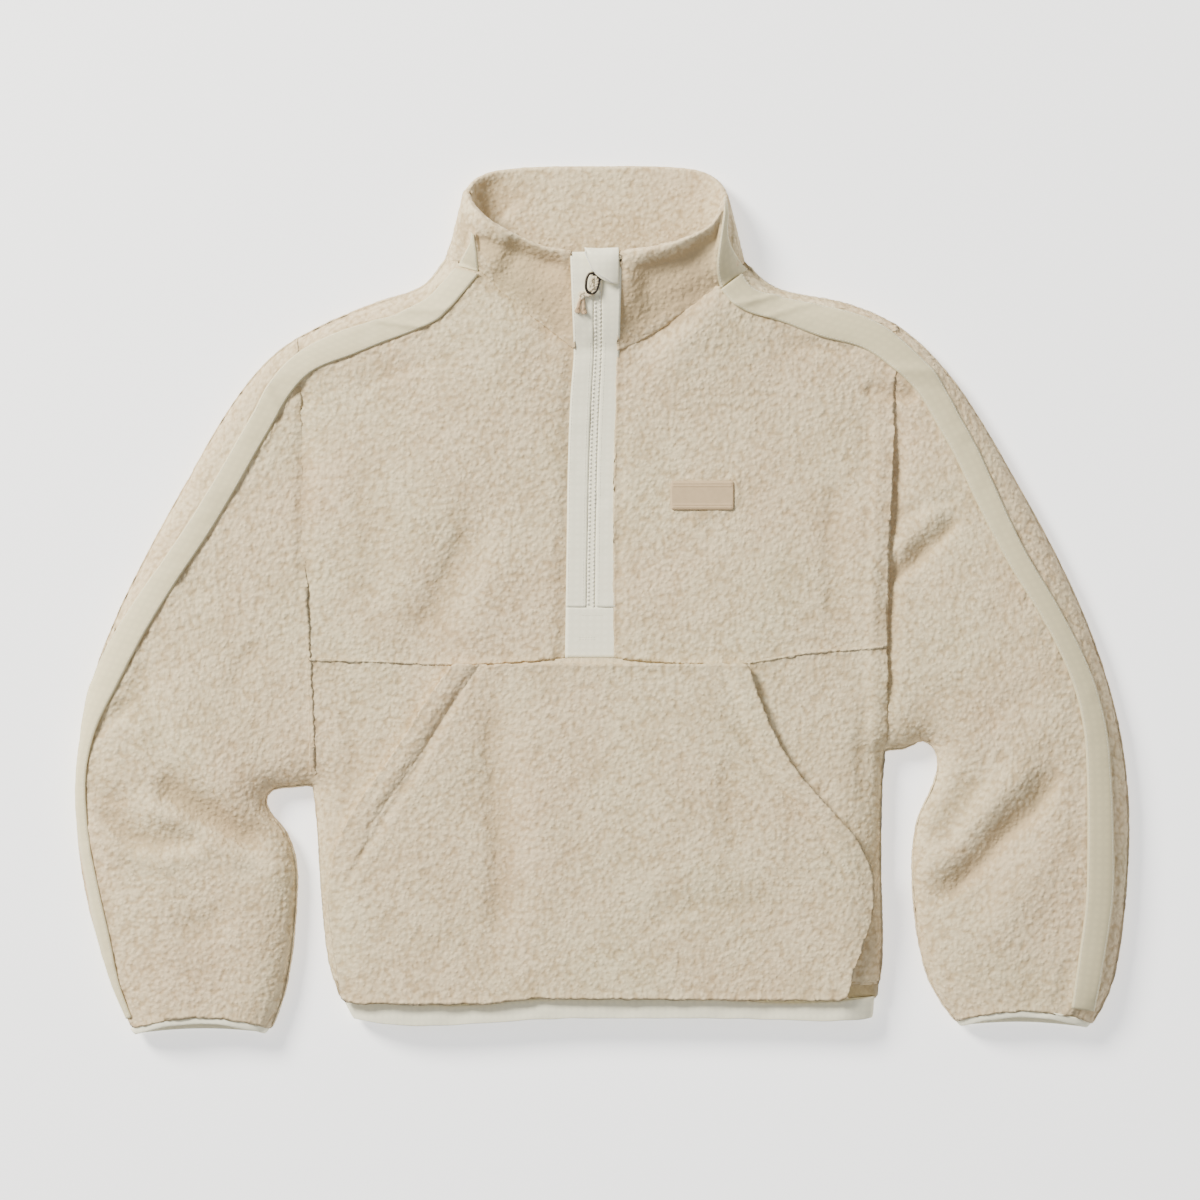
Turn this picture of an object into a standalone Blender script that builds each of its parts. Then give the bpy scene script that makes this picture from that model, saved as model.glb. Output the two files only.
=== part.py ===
"""Half-zip sherpa fleece pullover, laid flat on its back.

X runs across the garment, Y towards the collar and Z up from the table. Tables and sizes are in
millimetres and become metres when a piece is made. Two surfaces carry every piece: the top, which
rolls down at the side folds, and the underside, which rests on the table.
"""

import math

import bmesh
import bpy
import numpy as np
from mathutils import Matrix, Vector

MM = 0.001

# Cloth
FLEECE = 4.0  # body fleece with its pile
POCKET_FLEECE = 3.2
COLLAR_FLEECE = 6.5  # two layers, turned over at the rim
TAPE = 1.0  # woven tape
BAND = 1.8  # folded hem band
BINDING = 3.0  # rolled cuff binding
SEAM_GAP = 0.3
LAID_ON = 1.2  # from a panel to what is sewn on it
WIDE_GAP = 0.9  # where a thick wall meets a thinner one
TAPE_WIDTH = 29.0
PLACKET_RECESS = 1.6  # the tape beside the zip lies lower than the pile
BAND_RECESS = 1.4

# How the garment lies
FOLD_HEIGHT = 11.0  # the side folds above the table
TOP_RISE = 16.0  # the top above the side folds
TOP_ROLL = 36.0  # reach of the roll at a side fold, on top
UNDER_ROLL = 14.0  # and underneath
ON_FOLD = 0.05  # a place this near to a side fold is on it
NEAR_FOLD = [1.5, 6.0, 13.0, 23.0, 36.0]  # rows of cells over the roll

# Zip
CHAIN_WIDTH = 6.0
CHAIN_THICK = 2.2
CHAIN_PROUD = 1.0  # of the tape on either side of it
PLACKET_THICK = 1.2
FOOT_SHARE = 0.86  # where the teeth end, of the placket's length below the neck
SLIDER = (8.6, 13.0, 1.2)
SLIDER_AHEAD = 3.2  # the slider's middle above the hinge
BRIDGE = (2.4, 0.9)  # width and thickness of the strap over the pull ring
WIRE = 1.8  # pull ring
RING_WIDTH = 9.6  # of the ring's centre line
RING_LENGTH = 15.6
RING_CORNER = 2.4
RING_ASIDE = -1.4  # the ring hangs off the slider's middle
HINGE_Y = 264.4
HINGE_HEIGHT = 3.8  # above the tape beside the teeth
CORD = 2.0
KNOT = (4.6, 5.6, 3.8)
KNOT_AT = (-14.6, 248.6, 2.6)  # x, y, height above the tape
# The cord, from inside the knot through the ring and back, then its two tails: x, y, height
CORD_RUNS = {
    "loop": [
        (-13.2, 249.7, 3.4), (-12.0, 250.4, 3.9), (-10.8, 252.4, 5.8), (-8.6, 254.6, 6.6),
        (-6.2, 255.6, 6.0), (-4.2, 254.2, 4.5), (-4.2, 251.9, 3.0), (-6.2, 250.2, 1.7),
        (-7.8, 249.0, 1.45), (-9.8, 247.8, 1.6), (-11.9, 247.4, 2.1), (-13.1, 247.4, 2.3),
    ],
    "tail_a": [
        (-15.2, 247.2, 2.6), (-15.8, 245.4, 2.3), (-16.7, 243.0, 2.1), (-17.8, 239.0, 2.0),
        (-18.8, 234.0, 1.9),
    ],
    "tail_b": [
        (-13.9, 247.0, 2.6), (-13.6, 245.2, 2.3), (-13.2, 243.0, 2.1), (-13.4, 238.5, 2.0),
        (-12.9, 233.2, 1.9),
    ],
}
# Free edge of the guard over the slider, left to right: share of the placket's width, y
GUARD_EDGE = [(0.26, 278.0), (0.36, 271.4), (0.48, 265.9), (0.70, 260.9), (0.88, 257.9), (0.985, 257.5)]
GUARD_TOP = 0.22  # share of the placket's width where its top edge starts
GUARD_TOP_Y = 286.0
GUARD_SEWN = 0.5  # height above the tape where it is sewn
GUARD_LIFT = 8.2  # and over the slider
GUARD_THICK = 1.2

# Outlines, anticlockwise, so that the cloth lies to their left: x, y
LEFT_OUTER = [
    (-126.7, 278.8), (-134.5, 267.6), (-143.0, 257.0), (-158.0, 251.0), (-178.0, 245.5),
    (-218.5, 229.6), (-266.1, 202.5), (-299.7, 164.0), (-338.2, 98.4), (-374.3, 32.8),
    (-405.2, -32.8), (-426.2, -98.4), (-432.4, -168.1), (-424.4, -229.6), (-409.6, -295.2),
    (-383.0, -357.5),
]
LEFT_UNDERARM = [
    (-272.6, -355.9), (-261.2, -329.6), (-254.6, -296.0), (-250.5, -252.6), (-250.5, -211.6),
    (-257.1, -191.1), (-271.8, -175.5), (-276.8, -163.2), (-270.2, -155.8), (-253.8, -153.3),
    (-234.9, -153.3), (-232.6, -170.0), (-229.8, -215.0), (-226.4, -262.0), (-222.4, -300.0),
    (-214.5, -324.0), (-203.8, -346.0),
]
RIGHT_UNDERARM = [
    (225.9, -346.0), (227.5, -324.7), (231.6, -313.2), (232.5, -295.2), (230.8, -254.2),
    (230.0, -213.2), (230.8, -164.0), (233.3, -123.8), (252.1, -121.4), (267.7, -114.0),
    (277.6, -123.0), (279.2, -138.6), (274.3, -155.8), (263.6, -172.2), (257.9, -200.9),
    (258.7, -246.0), (265.3, -296.0), (275.9, -324.7), (297.0, -350.0),
]
RIGHT_OUTER = [
    (401.0, -352.0), (417.0, -328.0), (427.6, -278.8), (433.4, -221.4), (434.2, -164.0),
    (425.2, -98.4), (405.5, -32.8), (376.8, 32.8), (340.7, 98.4), (302.2, 164.0),
    (276.8, 196.8), (236.6, 229.6), (195.6, 245.2), (164.0, 249.8), (142.0, 255.2),
    (129.0, 265.5), (119.6, 277.2),
]

# Seams: x, y
ARMHOLE_LEFT = [
    (-248.9, 212.4), (-246.4, 164.0), (-244.8, 98.4), (-243.1, 32.8), (-240.5, -20.0),
    (-238.0, -49.0), (-236.4, -100.0), (-234.9, -153.3),
]
ARMHOLE_RIGHT = [
    (243.1, 225.5), (239.8, 159.9), (236.6, 82.0), (233.9, 8.2), (233.4, -38.8),
    (233.6, -80.0), (233.3, -123.8),
]
FRONT_SEAM_LEFT = [(-238.0, -49.0), (-180.0, -50.8), (-120.1, -52.5), (-60.0, -49.5), (-28.3, -47.2)]
FRONT_SEAM_RIGHT = [(13.5, -47.2), (66.0, -50.8), (116.8, -52.5), (164.4, -44.3), (233.4, -38.8)]
NECK_LEFT = [
    (-21.0, 204.2), (-48.8, 226.3), (-75.0, 246.8), (-89.8, 262.4), (-106.2, 273.5), (-126.7, 278.8),
]
NECK_BACK = [
    (-126.7, 278.8), (-90.0, 276.0), (-40.0, 270.5), (0.0, 269.0), (40.0, 270.5), (86.0, 275.0),
    (119.6, 277.2),
]
NECK_RIGHT = [
    (119.6, 277.2), (111.1, 268.0), (94.7, 254.2), (70.1, 236.2), (37.3, 213.6), (15.6, 203.2),
]
HEM_LINE = [
    (-214.2, -324.6), (-168.5, -328.8), (-138.2, -331.3), (-107.8, -331.3), (-59.4, -326.4),
    (19.3, -323.9), (89.0, -324.7), (134.9, -328.8), (195.6, -328.0), (227.6, -325.2),
]
HEM_EDGE = [
    (-204.4, -344.6), (-156.2, -349.3), (-107.8, -347.7), (-47.1, -343.6), (28.3, -342.8),
    (134.9, -343.6), (195.6, -345.2), (226.0, -343.4),
]

# Collar rim, outer edge: x, y, z
RIM_LEFT = [
    (-24.0, 284.5, 47), (-42.0, 287.0, 47), (-70.0, 298.0, 47), (-93.0, 311.0, 44),
    (-105.0, 323.5, 37), (-110.8, 337.0, 24),
]
RIM_BACK = [
    (-110.8, 337.0, 24), (-105.0, 347.0, 12), (-91.0, 353.0, 3), (-62.0, 356.4, 0),
    (0.0, 357.0, 0), (62.0, 356.6, 0), (91.0, 352.0, 3), (101.0, 344.0, 12), (104.6, 334.0, 24),
]
RIM_RIGHT = [
    (104.6, 334.0, 24), (101.0, 322.0, 37), (92.0, 306.0, 44), (72.0, 296.0, 47),
    (44.0, 288.0, 47), (17.6, 285.0, 47),
]
COLLAR_BULGE = 6.0
TAPE_CELLS = 3  # of the collar's cells, from each side of the neck forwards

# Bow of the open sleeve ends, on top and underneath
CUFF_ARCH = 10.0
CUFF_ARCH_BACK = 4.0
# Ends of the fleece at its outer and its inner fold, then of the binding: x, y each
CUFFS = {
    "left": ((-386.3, -351.2), (-270.5, -350.4), (-382.6, -357.6), (-274.5, -356.8)),
    "right": ((405.0, -346.0), (292.0, -344.5), (400.5, -352.5), (296.5, -351.0)),
}

# Placket edges and the zip's line: x, y
PLACKET_X = -21.0  # left edge at the neck
PLACKET_WIDTH = 37.0
PLACKET_LEFT = [
    (-21.0, 204.2), (-21.4, 196.8), (-23.4, 172.2), (-25.8, 115.6), (-26.8, 53.3), (-28.3, -46.7),
]
PLACKET_RIGHT = [(15.6, 203.2), (15.2, 178.8), (13.5, 115.6), (12.7, 53.3), (13.5, -46.7)]
CHAIN_ACROSS = [(-46.7, 0.487), (85.0, 0.51), (287.0, 0.53)]  # y, share of the placket's width

# Sleeve sections, from armhole to cuff: outer x, y, inner x, y
SLEEVE_LEFT = [
    (-248.9, 212.4, -234.9, -153.3), (-274.0, 195.0, -238.5, -153.3), (-299.7, 164.0, -243.0, -153.3),
    (-338.2, 98.4, -254.0, -153.3), (-374.3, 32.8, -266.0, -154.5), (-398.0, -16.0, -276.8, -163.2),
    (-424.0, -84.0, -266.0, -181.0),
    (-434.2, -168.1, -251.0, -215.0), (-427.0, -226.0, -250.5, -252.6), (-411.2, -295.2, -256.0, -305.0),
    (-386.3, -351.2, -270.5, -350.4),
]
SLEEVE_RIGHT = [
    (243.1, 225.5, 233.3, -123.8), (273.0, 201.0, 238.0, -123.2), (302.2, 164.0, 244.0, -122.6),
    (340.7, 98.4, 256.0, -119.6), (376.8, 32.8, 270.0, -115.0), (405.5, -32.8, 279.0, -133.0),
    (425.2, -98.4, 268.0, -166.0),
    (434.2, -164.0, 257.9, -205.0), (432.6, -232.0, 259.0, -249.0), (424.0, -300.0, 266.5, -300.0),
    (405.0, -346.0, 292.0, -344.5),
]

# Tape edge nearer the chest, from neck to cuff: x, y
TAPE_LEFT = [
    (-97.2, 268.6), (-115.2, 246.8), (-130.0, 230.4), (-152.9, 219.8), (-173.4, 212.4),
    (-210.3, 197.6), (-232.5, 189.4), (-246.0, 178.0), (-272.6, 136.1), (-298.9, 89.4),
    (-321.8, 51.7), (-350.5, 9.0), (-374.3, -30.3), (-396.0, -72.0), (-412.0, -104.0),
    (-420.8, -140.0), (-419.6, -186.1), (-409.6, -241.1), (-401.0, -278.8), (-394.0, -314.1),
    (-384.0, -342.0),
]
TAPE_RIGHT = [
    (97.5, 256.5), (103.0, 246.0), (116.8, 237.0), (148.0, 228.0), (178.3, 216.5),
    (218.5, 205.0), (240.0, 189.5), (258.7, 172.0), (276.8, 141.9), (289.9, 118.9),
    (307.9, 80.4), (336.6, 25.4), (359.6, -11.5), (376.0, -42.6), (388.0, -72.0),
    (396.3, -110.0), (398.3, -142.7), (398.9, -197.6), (397.3, -252.6), (392.4, -289.5),
    (386.0, -334.0),
]
TAPE_START_LEFT = 164.0  # degrees, the tape's first edge, along the neck seam
TAPE_START_RIGHT = 38.0

# Pocket sides, from the front seam to the hem: x, y
POCKET_LEFT = [
    (-118.5, -54.0), (-131.6, -71.0), (-173.4, -136.1), (-201.3, -175.5), (-213.0, -200.1),
    (-218.0, -229.6), (-216.0, -278.8), (-207.0, -323.5),
]
POCKET_RIGHT = [
    (120.1, -54.0), (134.1, -96.8), (161.1, -145.1), (191.5, -177.9), (211.1, -200.1),
    (220.0, -222.0), (221.0, -250.1), (214.6, -275.2), (205.5, -300.9), (199.0, -326.5),
]
POCKET_WELT = 18.0
POCKET_MOUTH = 0.62  # share of the side that is open

LABEL = (57.8, 73.8, 109.5, 97.6)  # x, y of two corners
LABEL_THICK = 1.4

# Folds of the cloth: start x, y, end x, y, half width, height
FOLDS = [
    # fullness
    (-330, 60, -345, -210, 55, 3.0), (345, 60, 350, -200, 55, 3.0), (-60, 230, 60, 230, 70, 9.0),
    (-120, 120, -130, 0, 60, 2.0), (120, 120, 130, 0, 60, 2.0),
    # left sleeve
    (-370, -140, -288, -208, 15, -6.0), (-362, -112, -285, -174, 18, 3.0),
    (-400, -158, -384, -162, 15, -3.0), (-396, -176, -380, -200, 15, -3.5),
    (-372, -204, -325, -197, 15, -3.5), (-260, 158, -247, 138, 26, -3.5),
    (-246, 140, -244, 105, 15, -2.5), (-362, -60, -372, -95, 18, -2.5),
    (-310, 70, -305, 50, 18, -2.0), (-338, 5, -320, -4, 18, -2.0),
    (-330, -250, -300, -320, 22, -2.0), (-365, -255, -350, -320, 22, 1.5),
    # right sleeve
    (226, 150, 246, 144, 22, -4.0), (241, 8, 262, 33, 14, -3.0), (262, 33, 280, 46, 15, -2.5),
    (328, -90, 348, -80, 16, -2.5), (291, -196, 300, -164, 15, -3.0),
    (300, -164, 316, -135, 15, -2.5), (281, -246, 308, -236, 13, -5.0),
    (308, -236, 342, -190, 13, -6.0), (342, -190, 362, -160, 13, -4.5),
    (322, -264, 358, -212, 17, 3.0), (266, -214, 291, -196, 14, -2.5),
    (360, -300, 362, -318, 16, -1.5), (242, 82, 266, 102, 16, -2.0),
    # body
    (-102, 66, -151, -33, 24, -3.5), (-128, 60, -172, -28, 22, 1.5),
    (-90, -74, -88, -164, 23, -2.5), (-88, -164, -81, -246, 23, -2.5),
    (-81, -246, -90, -295, 23, -2.0), (-106, 299, -65, 254, 14, -5.0),
    (-65, 254, -36, 209, 15, -4.0), (111, 303, 66, 254, 15, -6.0),
    (66, 254, 33, 205, 15, -6.0), (148, 209, 213, 201, 12, -2.0),
    (60, -120, 75, -270, 30, 1.5), (-160, -200, -150, -300, 26, 1.5),
    (140, -240, 170, -300, 22, -1.5), (215, 60, 222, -20, 12, 2.0),
]


def clear_scene():
    for old in list(bpy.data.objects):
        bpy.data.objects.remove(old, do_unlink=True)


def material(name, colour, roughness, metallic=0.0):
    made = bpy.data.materials.new(name)
    made.use_nodes = True
    shader = made.node_tree.nodes["Principled BSDF"]
    shader.inputs["Base Color"].default_value = (*colour, 1.0)
    shader.inputs["Roughness"].default_value = roughness
    shader.inputs["Metallic"].default_value = metallic
    made.diffuse_color = (*colour, 1.0)
    return made


# ---------------------------------------------------------------- curves


def run_lengths(points):
    steps = np.linalg.norm(np.diff(points, axis=0), axis=1)
    return np.concatenate([[0.0], np.cumsum(steps)])


def smooth(points, step=3.0):
    """A curve through the points, as a fine polyline."""
    points = np.asarray(points, float)
    at = run_lengths(points)
    slope = np.gradient(points, at, axis=0)
    fine = [points[:1]]
    for i in range(len(points) - 1):
        span = at[i + 1] - at[i]
        t = np.linspace(0, 1, max(2, int(span / step) + 1))[1:, None]
        fine.append(
            (2 * t**3 - 3 * t**2 + 1) * points[i]
            + (t**3 - 2 * t**2 + t) * span * slope[i]
            + (3 * t**2 - 2 * t**3) * points[i + 1]
            + (t**3 - t**2) * span * slope[i + 1]
        )
    return np.concatenate(fine)


def at_lengths(line, where):
    at = run_lengths(line)
    return np.stack([np.interp(where, at, line[:, k]) for k in range(line.shape[1])], axis=-1)


def sampled(line, shares):
    return at_lengths(line, np.asarray(shares) * run_lengths(line)[-1])


def length_near(line, point):
    """How far along the line its nearest place to the point is."""
    start, leg = line[:-1], np.diff(line, axis=0)
    share = np.clip(((point - start) * leg).sum(1) / (leg**2).sum(1), 0, 1)
    gap = np.linalg.norm(start + share[:, None] * leg - point, axis=1)
    best = int(gap.argmin())
    return run_lengths(line)[best] + share[best] * np.linalg.norm(leg[best])


def between(line, first, last):
    """The stretch of the line from its place nearest to one point to that nearest to the other."""
    a, b = (length_near(line, np.asarray(p, float)) for p in (first, last))
    where = np.linspace(a, b, max(3, int(abs(b - a) / 2.0)))
    return at_lengths(line, where)


def shares(count, start=1.0, end=1.0, run=4):
    """Shares from 0 to 1 in count cells, which shrink towards an end whose factor is under 1."""
    i = np.arange(count)
    size = (start + (1 - start) * np.minimum(1, i / run)) * (
        end + (1 - end) * np.minimum(1, (count - 1 - i) / run)
    )
    return np.concatenate([[0.0], np.cumsum(size)]) / size.sum()


def fold_shares(length, cells, start=True, end=True):
    """Shares in count cells of a line of this length, with close rows over the roll at a side fold."""
    head = NEAR_FOLD if start else []
    tail = NEAR_FOLD if end else []
    first, last = (head or [0.0])[-1], length - (tail or [0.0])[-1]
    middle = np.linspace(first, last, cells - len(head) - len(tail) + 1)[1:-1]
    back = [length - x for x in tail[::-1]]
    ends = ([0.0] if head else []) + list(head or [0.0])
    return np.array(ends + list(middle) + (back or []) + [length]) / length


def joined(*lines):
    """Lines end to end, each shared point once."""
    return np.concatenate([lines[0]] + [line[1:] for line in lines[1:]])


# ---------------------------------------------------------------- the two surfaces


def extended(line, reach=80.0):
    """The line carried straight on at both ends, past the open hem, cuffs and neck."""
    before, after = line[0] - line[1], line[-1] - line[-2]
    first = line[0] + before / np.linalg.norm(before) * reach
    last = line[-1] + after / np.linalg.norm(after) * reach
    return np.concatenate([[first], line, [last]])


class Edge:
    """The side folds of the garment: how deep in the cloth a place is, and which way is inwards."""

    def __init__(self, *lines):
        lines = [extended(line) for line in lines]
        self.start = np.concatenate([line[:-1] for line in lines])
        self.leg = np.concatenate([np.diff(line, axis=0) for line in lines])
        self.size = np.linalg.norm(self.leg, axis=1)

    def near(self, places):
        flat = places.reshape(-1, 1, 2)
        share = np.clip(((flat - self.start) * self.leg).sum(-1) / self.size**2, 0, 1)
        away = flat - (self.start + share[..., None] * self.leg)
        best = np.linalg.norm(away, axis=-1).argmin(1)
        away = away[np.arange(len(best)), best]
        leg = self.leg[best] / self.size[best][:, None]
        square = np.stack([-leg[:, 1], leg[:, 0]], axis=1)
        depth = np.linalg.norm(away, axis=1)
        inward = np.where(depth[:, None] > 1.0, away / np.maximum(depth, 1e-9)[:, None], square)
        depth = np.where(depth < ON_FOLD, 0.0, depth)
        return depth.reshape(places.shape[:-1]), inward.reshape(places.shape)


def rise(places):
    """How far the top stands above the side folds, folds of the cloth included."""
    total = np.full(places.shape[:-1], TOP_RISE)
    for x0, y0, x1, y1, half_width, height in FOLDS:
        start, leg = np.array([x0, y0]), np.array([x1 - x0, y1 - y0])
        share = np.clip(((places - start) @ leg) / (leg @ leg), 0, 1)
        away = np.linalg.norm(places - start - share[..., None] * leg, axis=-1)
        total = total + height * np.exp(-((away / half_width) ** 2))
    return total


def unit(vectors):
    return vectors / np.linalg.norm(vectors, axis=-1, keepdims=True)


def top(places):
    """Points of the top surface and their normals, at places x, y."""
    depth, inward = EDGE.near(places)
    cosine = np.clip(1 - depth / TOP_ROLL, 0, 1)
    sine = np.sqrt(1 - cosine**2)
    height = rise(places)
    step = 1.0
    slope = np.stack(
        [
            (rise(places + [step, 0]) - rise(places - [step, 0])) / (2 * step),
            (rise(places + [0, step]) - rise(places - [0, step])) / (2 * step),
        ],
        axis=-1,
    )
    points = np.concatenate([places, (FOLD_HEIGHT + height * sine)[..., None]], axis=-1)
    flat = -inward * (height * cosine / TOP_ROLL)[..., None] - slope * (sine**2)[..., None]
    return points, unit(np.concatenate([flat, sine[..., None]], axis=-1))


def under(places):
    """Points of the underside and their normals, at places x, y."""
    depth, inward = EDGE.near(places)
    cosine = np.clip(1 - depth / UNDER_ROLL, 0, 1)
    sine = np.sqrt(1 - cosine**2)
    points = np.concatenate([places, (FOLD_HEIGHT * (1 - sine))[..., None]], axis=-1)
    flat = -inward * (FOLD_HEIGHT * cosine / UNDER_ROLL)[..., None]
    return points, unit(np.concatenate([flat, -sine[..., None]], axis=-1))


def patch(bottom, upper, left, right):
    """Places filled in between four sides: bottom and upper run left to right, left and right up."""
    u = run_lengths(bottom) / run_lengths(bottom)[-1]
    w = run_lengths(upper) / run_lengths(upper)[-1]
    v = run_lengths(left) / run_lengths(left)[-1]
    q = run_lengths(right) / run_lengths(right)[-1]
    along = 0.5 * (u + w)[None, :, None]
    up = 0.5 * (v + q)[:, None, None]
    across = (1 - up) * bottom[None] + up * upper[None]
    upwards = (1 - along) * left[:, None] + along * right[:, None]
    low = (1 - along) * bottom[0] + along * bottom[-1]
    high = (1 - along) * upper[0] + along * upper[-1]
    return across + upwards - (1 - up) * low - up * high


def drawn_in(grid, sides="bulr"):
    """The grid with the named sides moved in by half a seam gap.

    Sides: b first row, u last row, l first column, r last column. A side that runs along a side
    fold stays on it: there the gap is in height.
    """
    on_fold = EDGE.near(grid)[0] < 0.5
    moved = grid.copy()
    borders = {
        "b": (np.s_[0], np.s_[1]),
        "u": (np.s_[-1], np.s_[-2]),
        "l": (np.s_[:, 0], np.s_[:, 1]),
        "r": (np.s_[:, -1], np.s_[:, -2]),
    }
    for side in sides:
        border, beside = borders[side]
        fold = on_fold[border]
        along_fold = fold & (np.append(fold[1:], False) | np.insert(fold[:-1], 0, False))
        shift = SEAM_GAP / 2 * unit(grid[beside] - grid[border])
        moved[border] += np.where(along_fold[:, None], 0.0, shift)
    return moved


# ---------------------------------------------------------------- solids


def make_object(name, bm, paint, smooth_faces=True):
    bmesh.ops.recalc_face_normals(bm, faces=bm.faces)
    if bm.calc_volume(signed=True) < 0:
        bmesh.ops.reverse_faces(bm, faces=bm.faces)
    mesh = bpy.data.meshes.new(name)
    bm.to_mesh(mesh)
    bm.free()
    mesh.materials.append(paint)
    if smooth_faces:
        mesh.shade_smooth()
        mesh.set_sharp_from_angle(angle=math.radians(50))
    made = bpy.data.objects.new(name, mesh)
    bpy.context.scene.collection.objects.link(made)
    return made


def wall(name, outer, inner, paint):
    """A closed wall between two grids of points of the same size.

    Each rim quad is split the same way for two walls that meet there.
    """
    bm = bmesh.new()
    sheets = [
        [[bm.verts.new(Vector(p) * MM) for p in row] for row in grid] for grid in (outer, inner)
    ]
    rows, columns = outer.shape[:2]
    for sheet in sheets:
        for i in range(rows - 1):
            for j in range(columns - 1):
                bm.faces.new([sheet[i][j], sheet[i][j + 1], sheet[i + 1][j + 1], sheet[i + 1][j]])
    rim = [(0, j) for j in range(columns)] + [(i, columns - 1) for i in range(1, rows)]
    rim += [(rows - 1, j) for j in range(columns - 2, -1, -1)] + [(i, 0) for i in range(rows - 2, 0, -1)]
    for one, other in zip(rim, rim[1:] + rim[:1]):
        one, other = sorted((one, other), key=lambda at: tuple(outer[at].round(0)))
        (near, near_inner), (far, far_inner) = ([sheet[i][j] for sheet in sheets] for i, j in (one, other))
        bm.faces.new([near, far, far_inner])
        bm.faces.new([near, far_inner, near_inner])
    return make_object(name, bm, paint)


def sleeve_of_rings(name, rings, paint, closed=False):
    """A tube through rings of points, capped at both ends, or joined end to end where closed."""
    bm = bmesh.new()
    loops = [[bm.verts.new(Vector(p) * MM) for p in ring] for ring in rings]
    pairs = list(zip(loops, loops[1:]))
    if closed:
        pairs.append((loops[-1], loops[0]))
    for one, other in pairs:
        for j in range(len(one)):
            k = (j + 1) % len(one)
            bm.faces.new([one[j], one[k], other[k], other[j]])
    if not closed:
        bm.faces.new(loops[0])
        bm.faces.new(loops[-1])
    return make_object(name, bm, paint)


def panel(name, surface, places, thick, paint, lift=0.0):
    """A cloth panel on one of the surfaces, lifted off it and thick inwards from there."""
    points, normals = surface(places)
    gap = np.where(np.isclose(points[..., 2:], FOLD_HEIGHT), SEAM_GAP / 2, 0.0)
    shift = np.concatenate([np.zeros_like(places), gap if surface is top else -gap], axis=-1)
    outer = points + shift + normals * lift
    wall(name, outer, outer - normals * thick, paint)


# ---------------------------------------------------------------- lines shared by the panels

EDGE_LINES = {
    "left_outer": smooth(LEFT_OUTER),
    "left_underarm": smooth(LEFT_UNDERARM),
    "right_underarm": smooth(RIGHT_UNDERARM),
    "right_outer": smooth(RIGHT_OUTER),
}
EDGE = Edge(*EDGE_LINES.values())

ARMPIT_LEFT, ARMPIT_RIGHT = ARMHOLE_LEFT[-1], ARMHOLE_RIGHT[-1]
NECK_CELLS, BACK_NECK_CELLS, SHOULDER_CELLS = 9, 13, 7
YOKE_CELLS, LOWER_CELLS, SIDE_CELLS = 10, 7, 6


def armhole(table, seam_end, outer_line):
    """The armhole, shoulder to armpit, in its yoke part and its lower part."""
    line = smooth(table)
    line[0] = at_lengths(outer_line, length_near(outer_line, line[0]))
    yoke, lower = between(line, line[0], seam_end), between(line, seam_end, line[-1])
    yoke = sampled(yoke, fold_shares(run_lengths(yoke)[-1], YOKE_CELLS, end=False))
    lower = sampled(lower, fold_shares(run_lengths(lower)[-1], LOWER_CELLS, start=False))
    lower[0] = yoke[-1]
    return yoke, lower


YOKE_LEFT, LOWER_LEFT = armhole(ARMHOLE_LEFT, FRONT_SEAM_LEFT[0], EDGE_LINES["left_outer"])
YOKE_RIGHT, LOWER_RIGHT = armhole(ARMHOLE_RIGHT, FRONT_SEAM_RIGHT[-1], EDGE_LINES["right_outer"])

SHOULDER_LEFT = sampled(
    between(EDGE_LINES["left_outer"], LEFT_OUTER[0], YOKE_LEFT[0]), shares(SHOULDER_CELLS, start=0.5)
)
SHOULDER_RIGHT = sampled(
    between(EDGE_LINES["right_outer"], RIGHT_OUTER[-1], YOKE_RIGHT[0]), shares(SHOULDER_CELLS, start=0.5)
)
NECK_SHARES = {
    "left": shares(NECK_CELLS, end=0.4),
    "back": shares(BACK_NECK_CELLS, start=0.3, end=0.3),
    "right": shares(NECK_CELLS, start=0.4),
}
NECK = {
    part: sampled(smooth(table), NECK_SHARES[part])
    for part, table in (("left", NECK_LEFT), ("back", NECK_BACK), ("right", NECK_RIGHT))
}
RIM = {
    part: sampled(smooth(table), NECK_SHARES[part])
    for part, table in (("left", RIM_LEFT), ("back", RIM_BACK), ("right", RIM_RIGHT))
}
SEAM_CELLS = NECK_CELLS + SHOULDER_CELLS
FRONT_SEAMS = smooth(FRONT_SEAM_LEFT), smooth(FRONT_SEAM_RIGHT)
SEAM_LENGTHS = [run_lengths(line)[-1] for line in FRONT_SEAMS]
SEAM_LEFT = sampled(FRONT_SEAMS[0], fold_shares(SEAM_LENGTHS[0], SEAM_CELLS, end=False))
SEAM_RIGHT = sampled(FRONT_SEAMS[1], fold_shares(SEAM_LENGTHS[1], SEAM_CELLS, start=False))
SIDE_LEFT = sampled(between(EDGE_LINES["left_underarm"], ARMPIT_LEFT, HEM_LINE[0]), shares(SIDE_CELLS))
SIDE_RIGHT = sampled(
    between(EDGE_LINES["right_underarm"], ARMPIT_RIGHT, HEM_LINE[-1]), shares(SIDE_CELLS)
)
HEM = smooth(HEM_LINE)
HEM[0], HEM[-1] = SIDE_LEFT[-1], SIDE_RIGHT[-1]
HEM_LENGTH = run_lengths(HEM)[-1]


# ---------------------------------------------------------------- body


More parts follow.
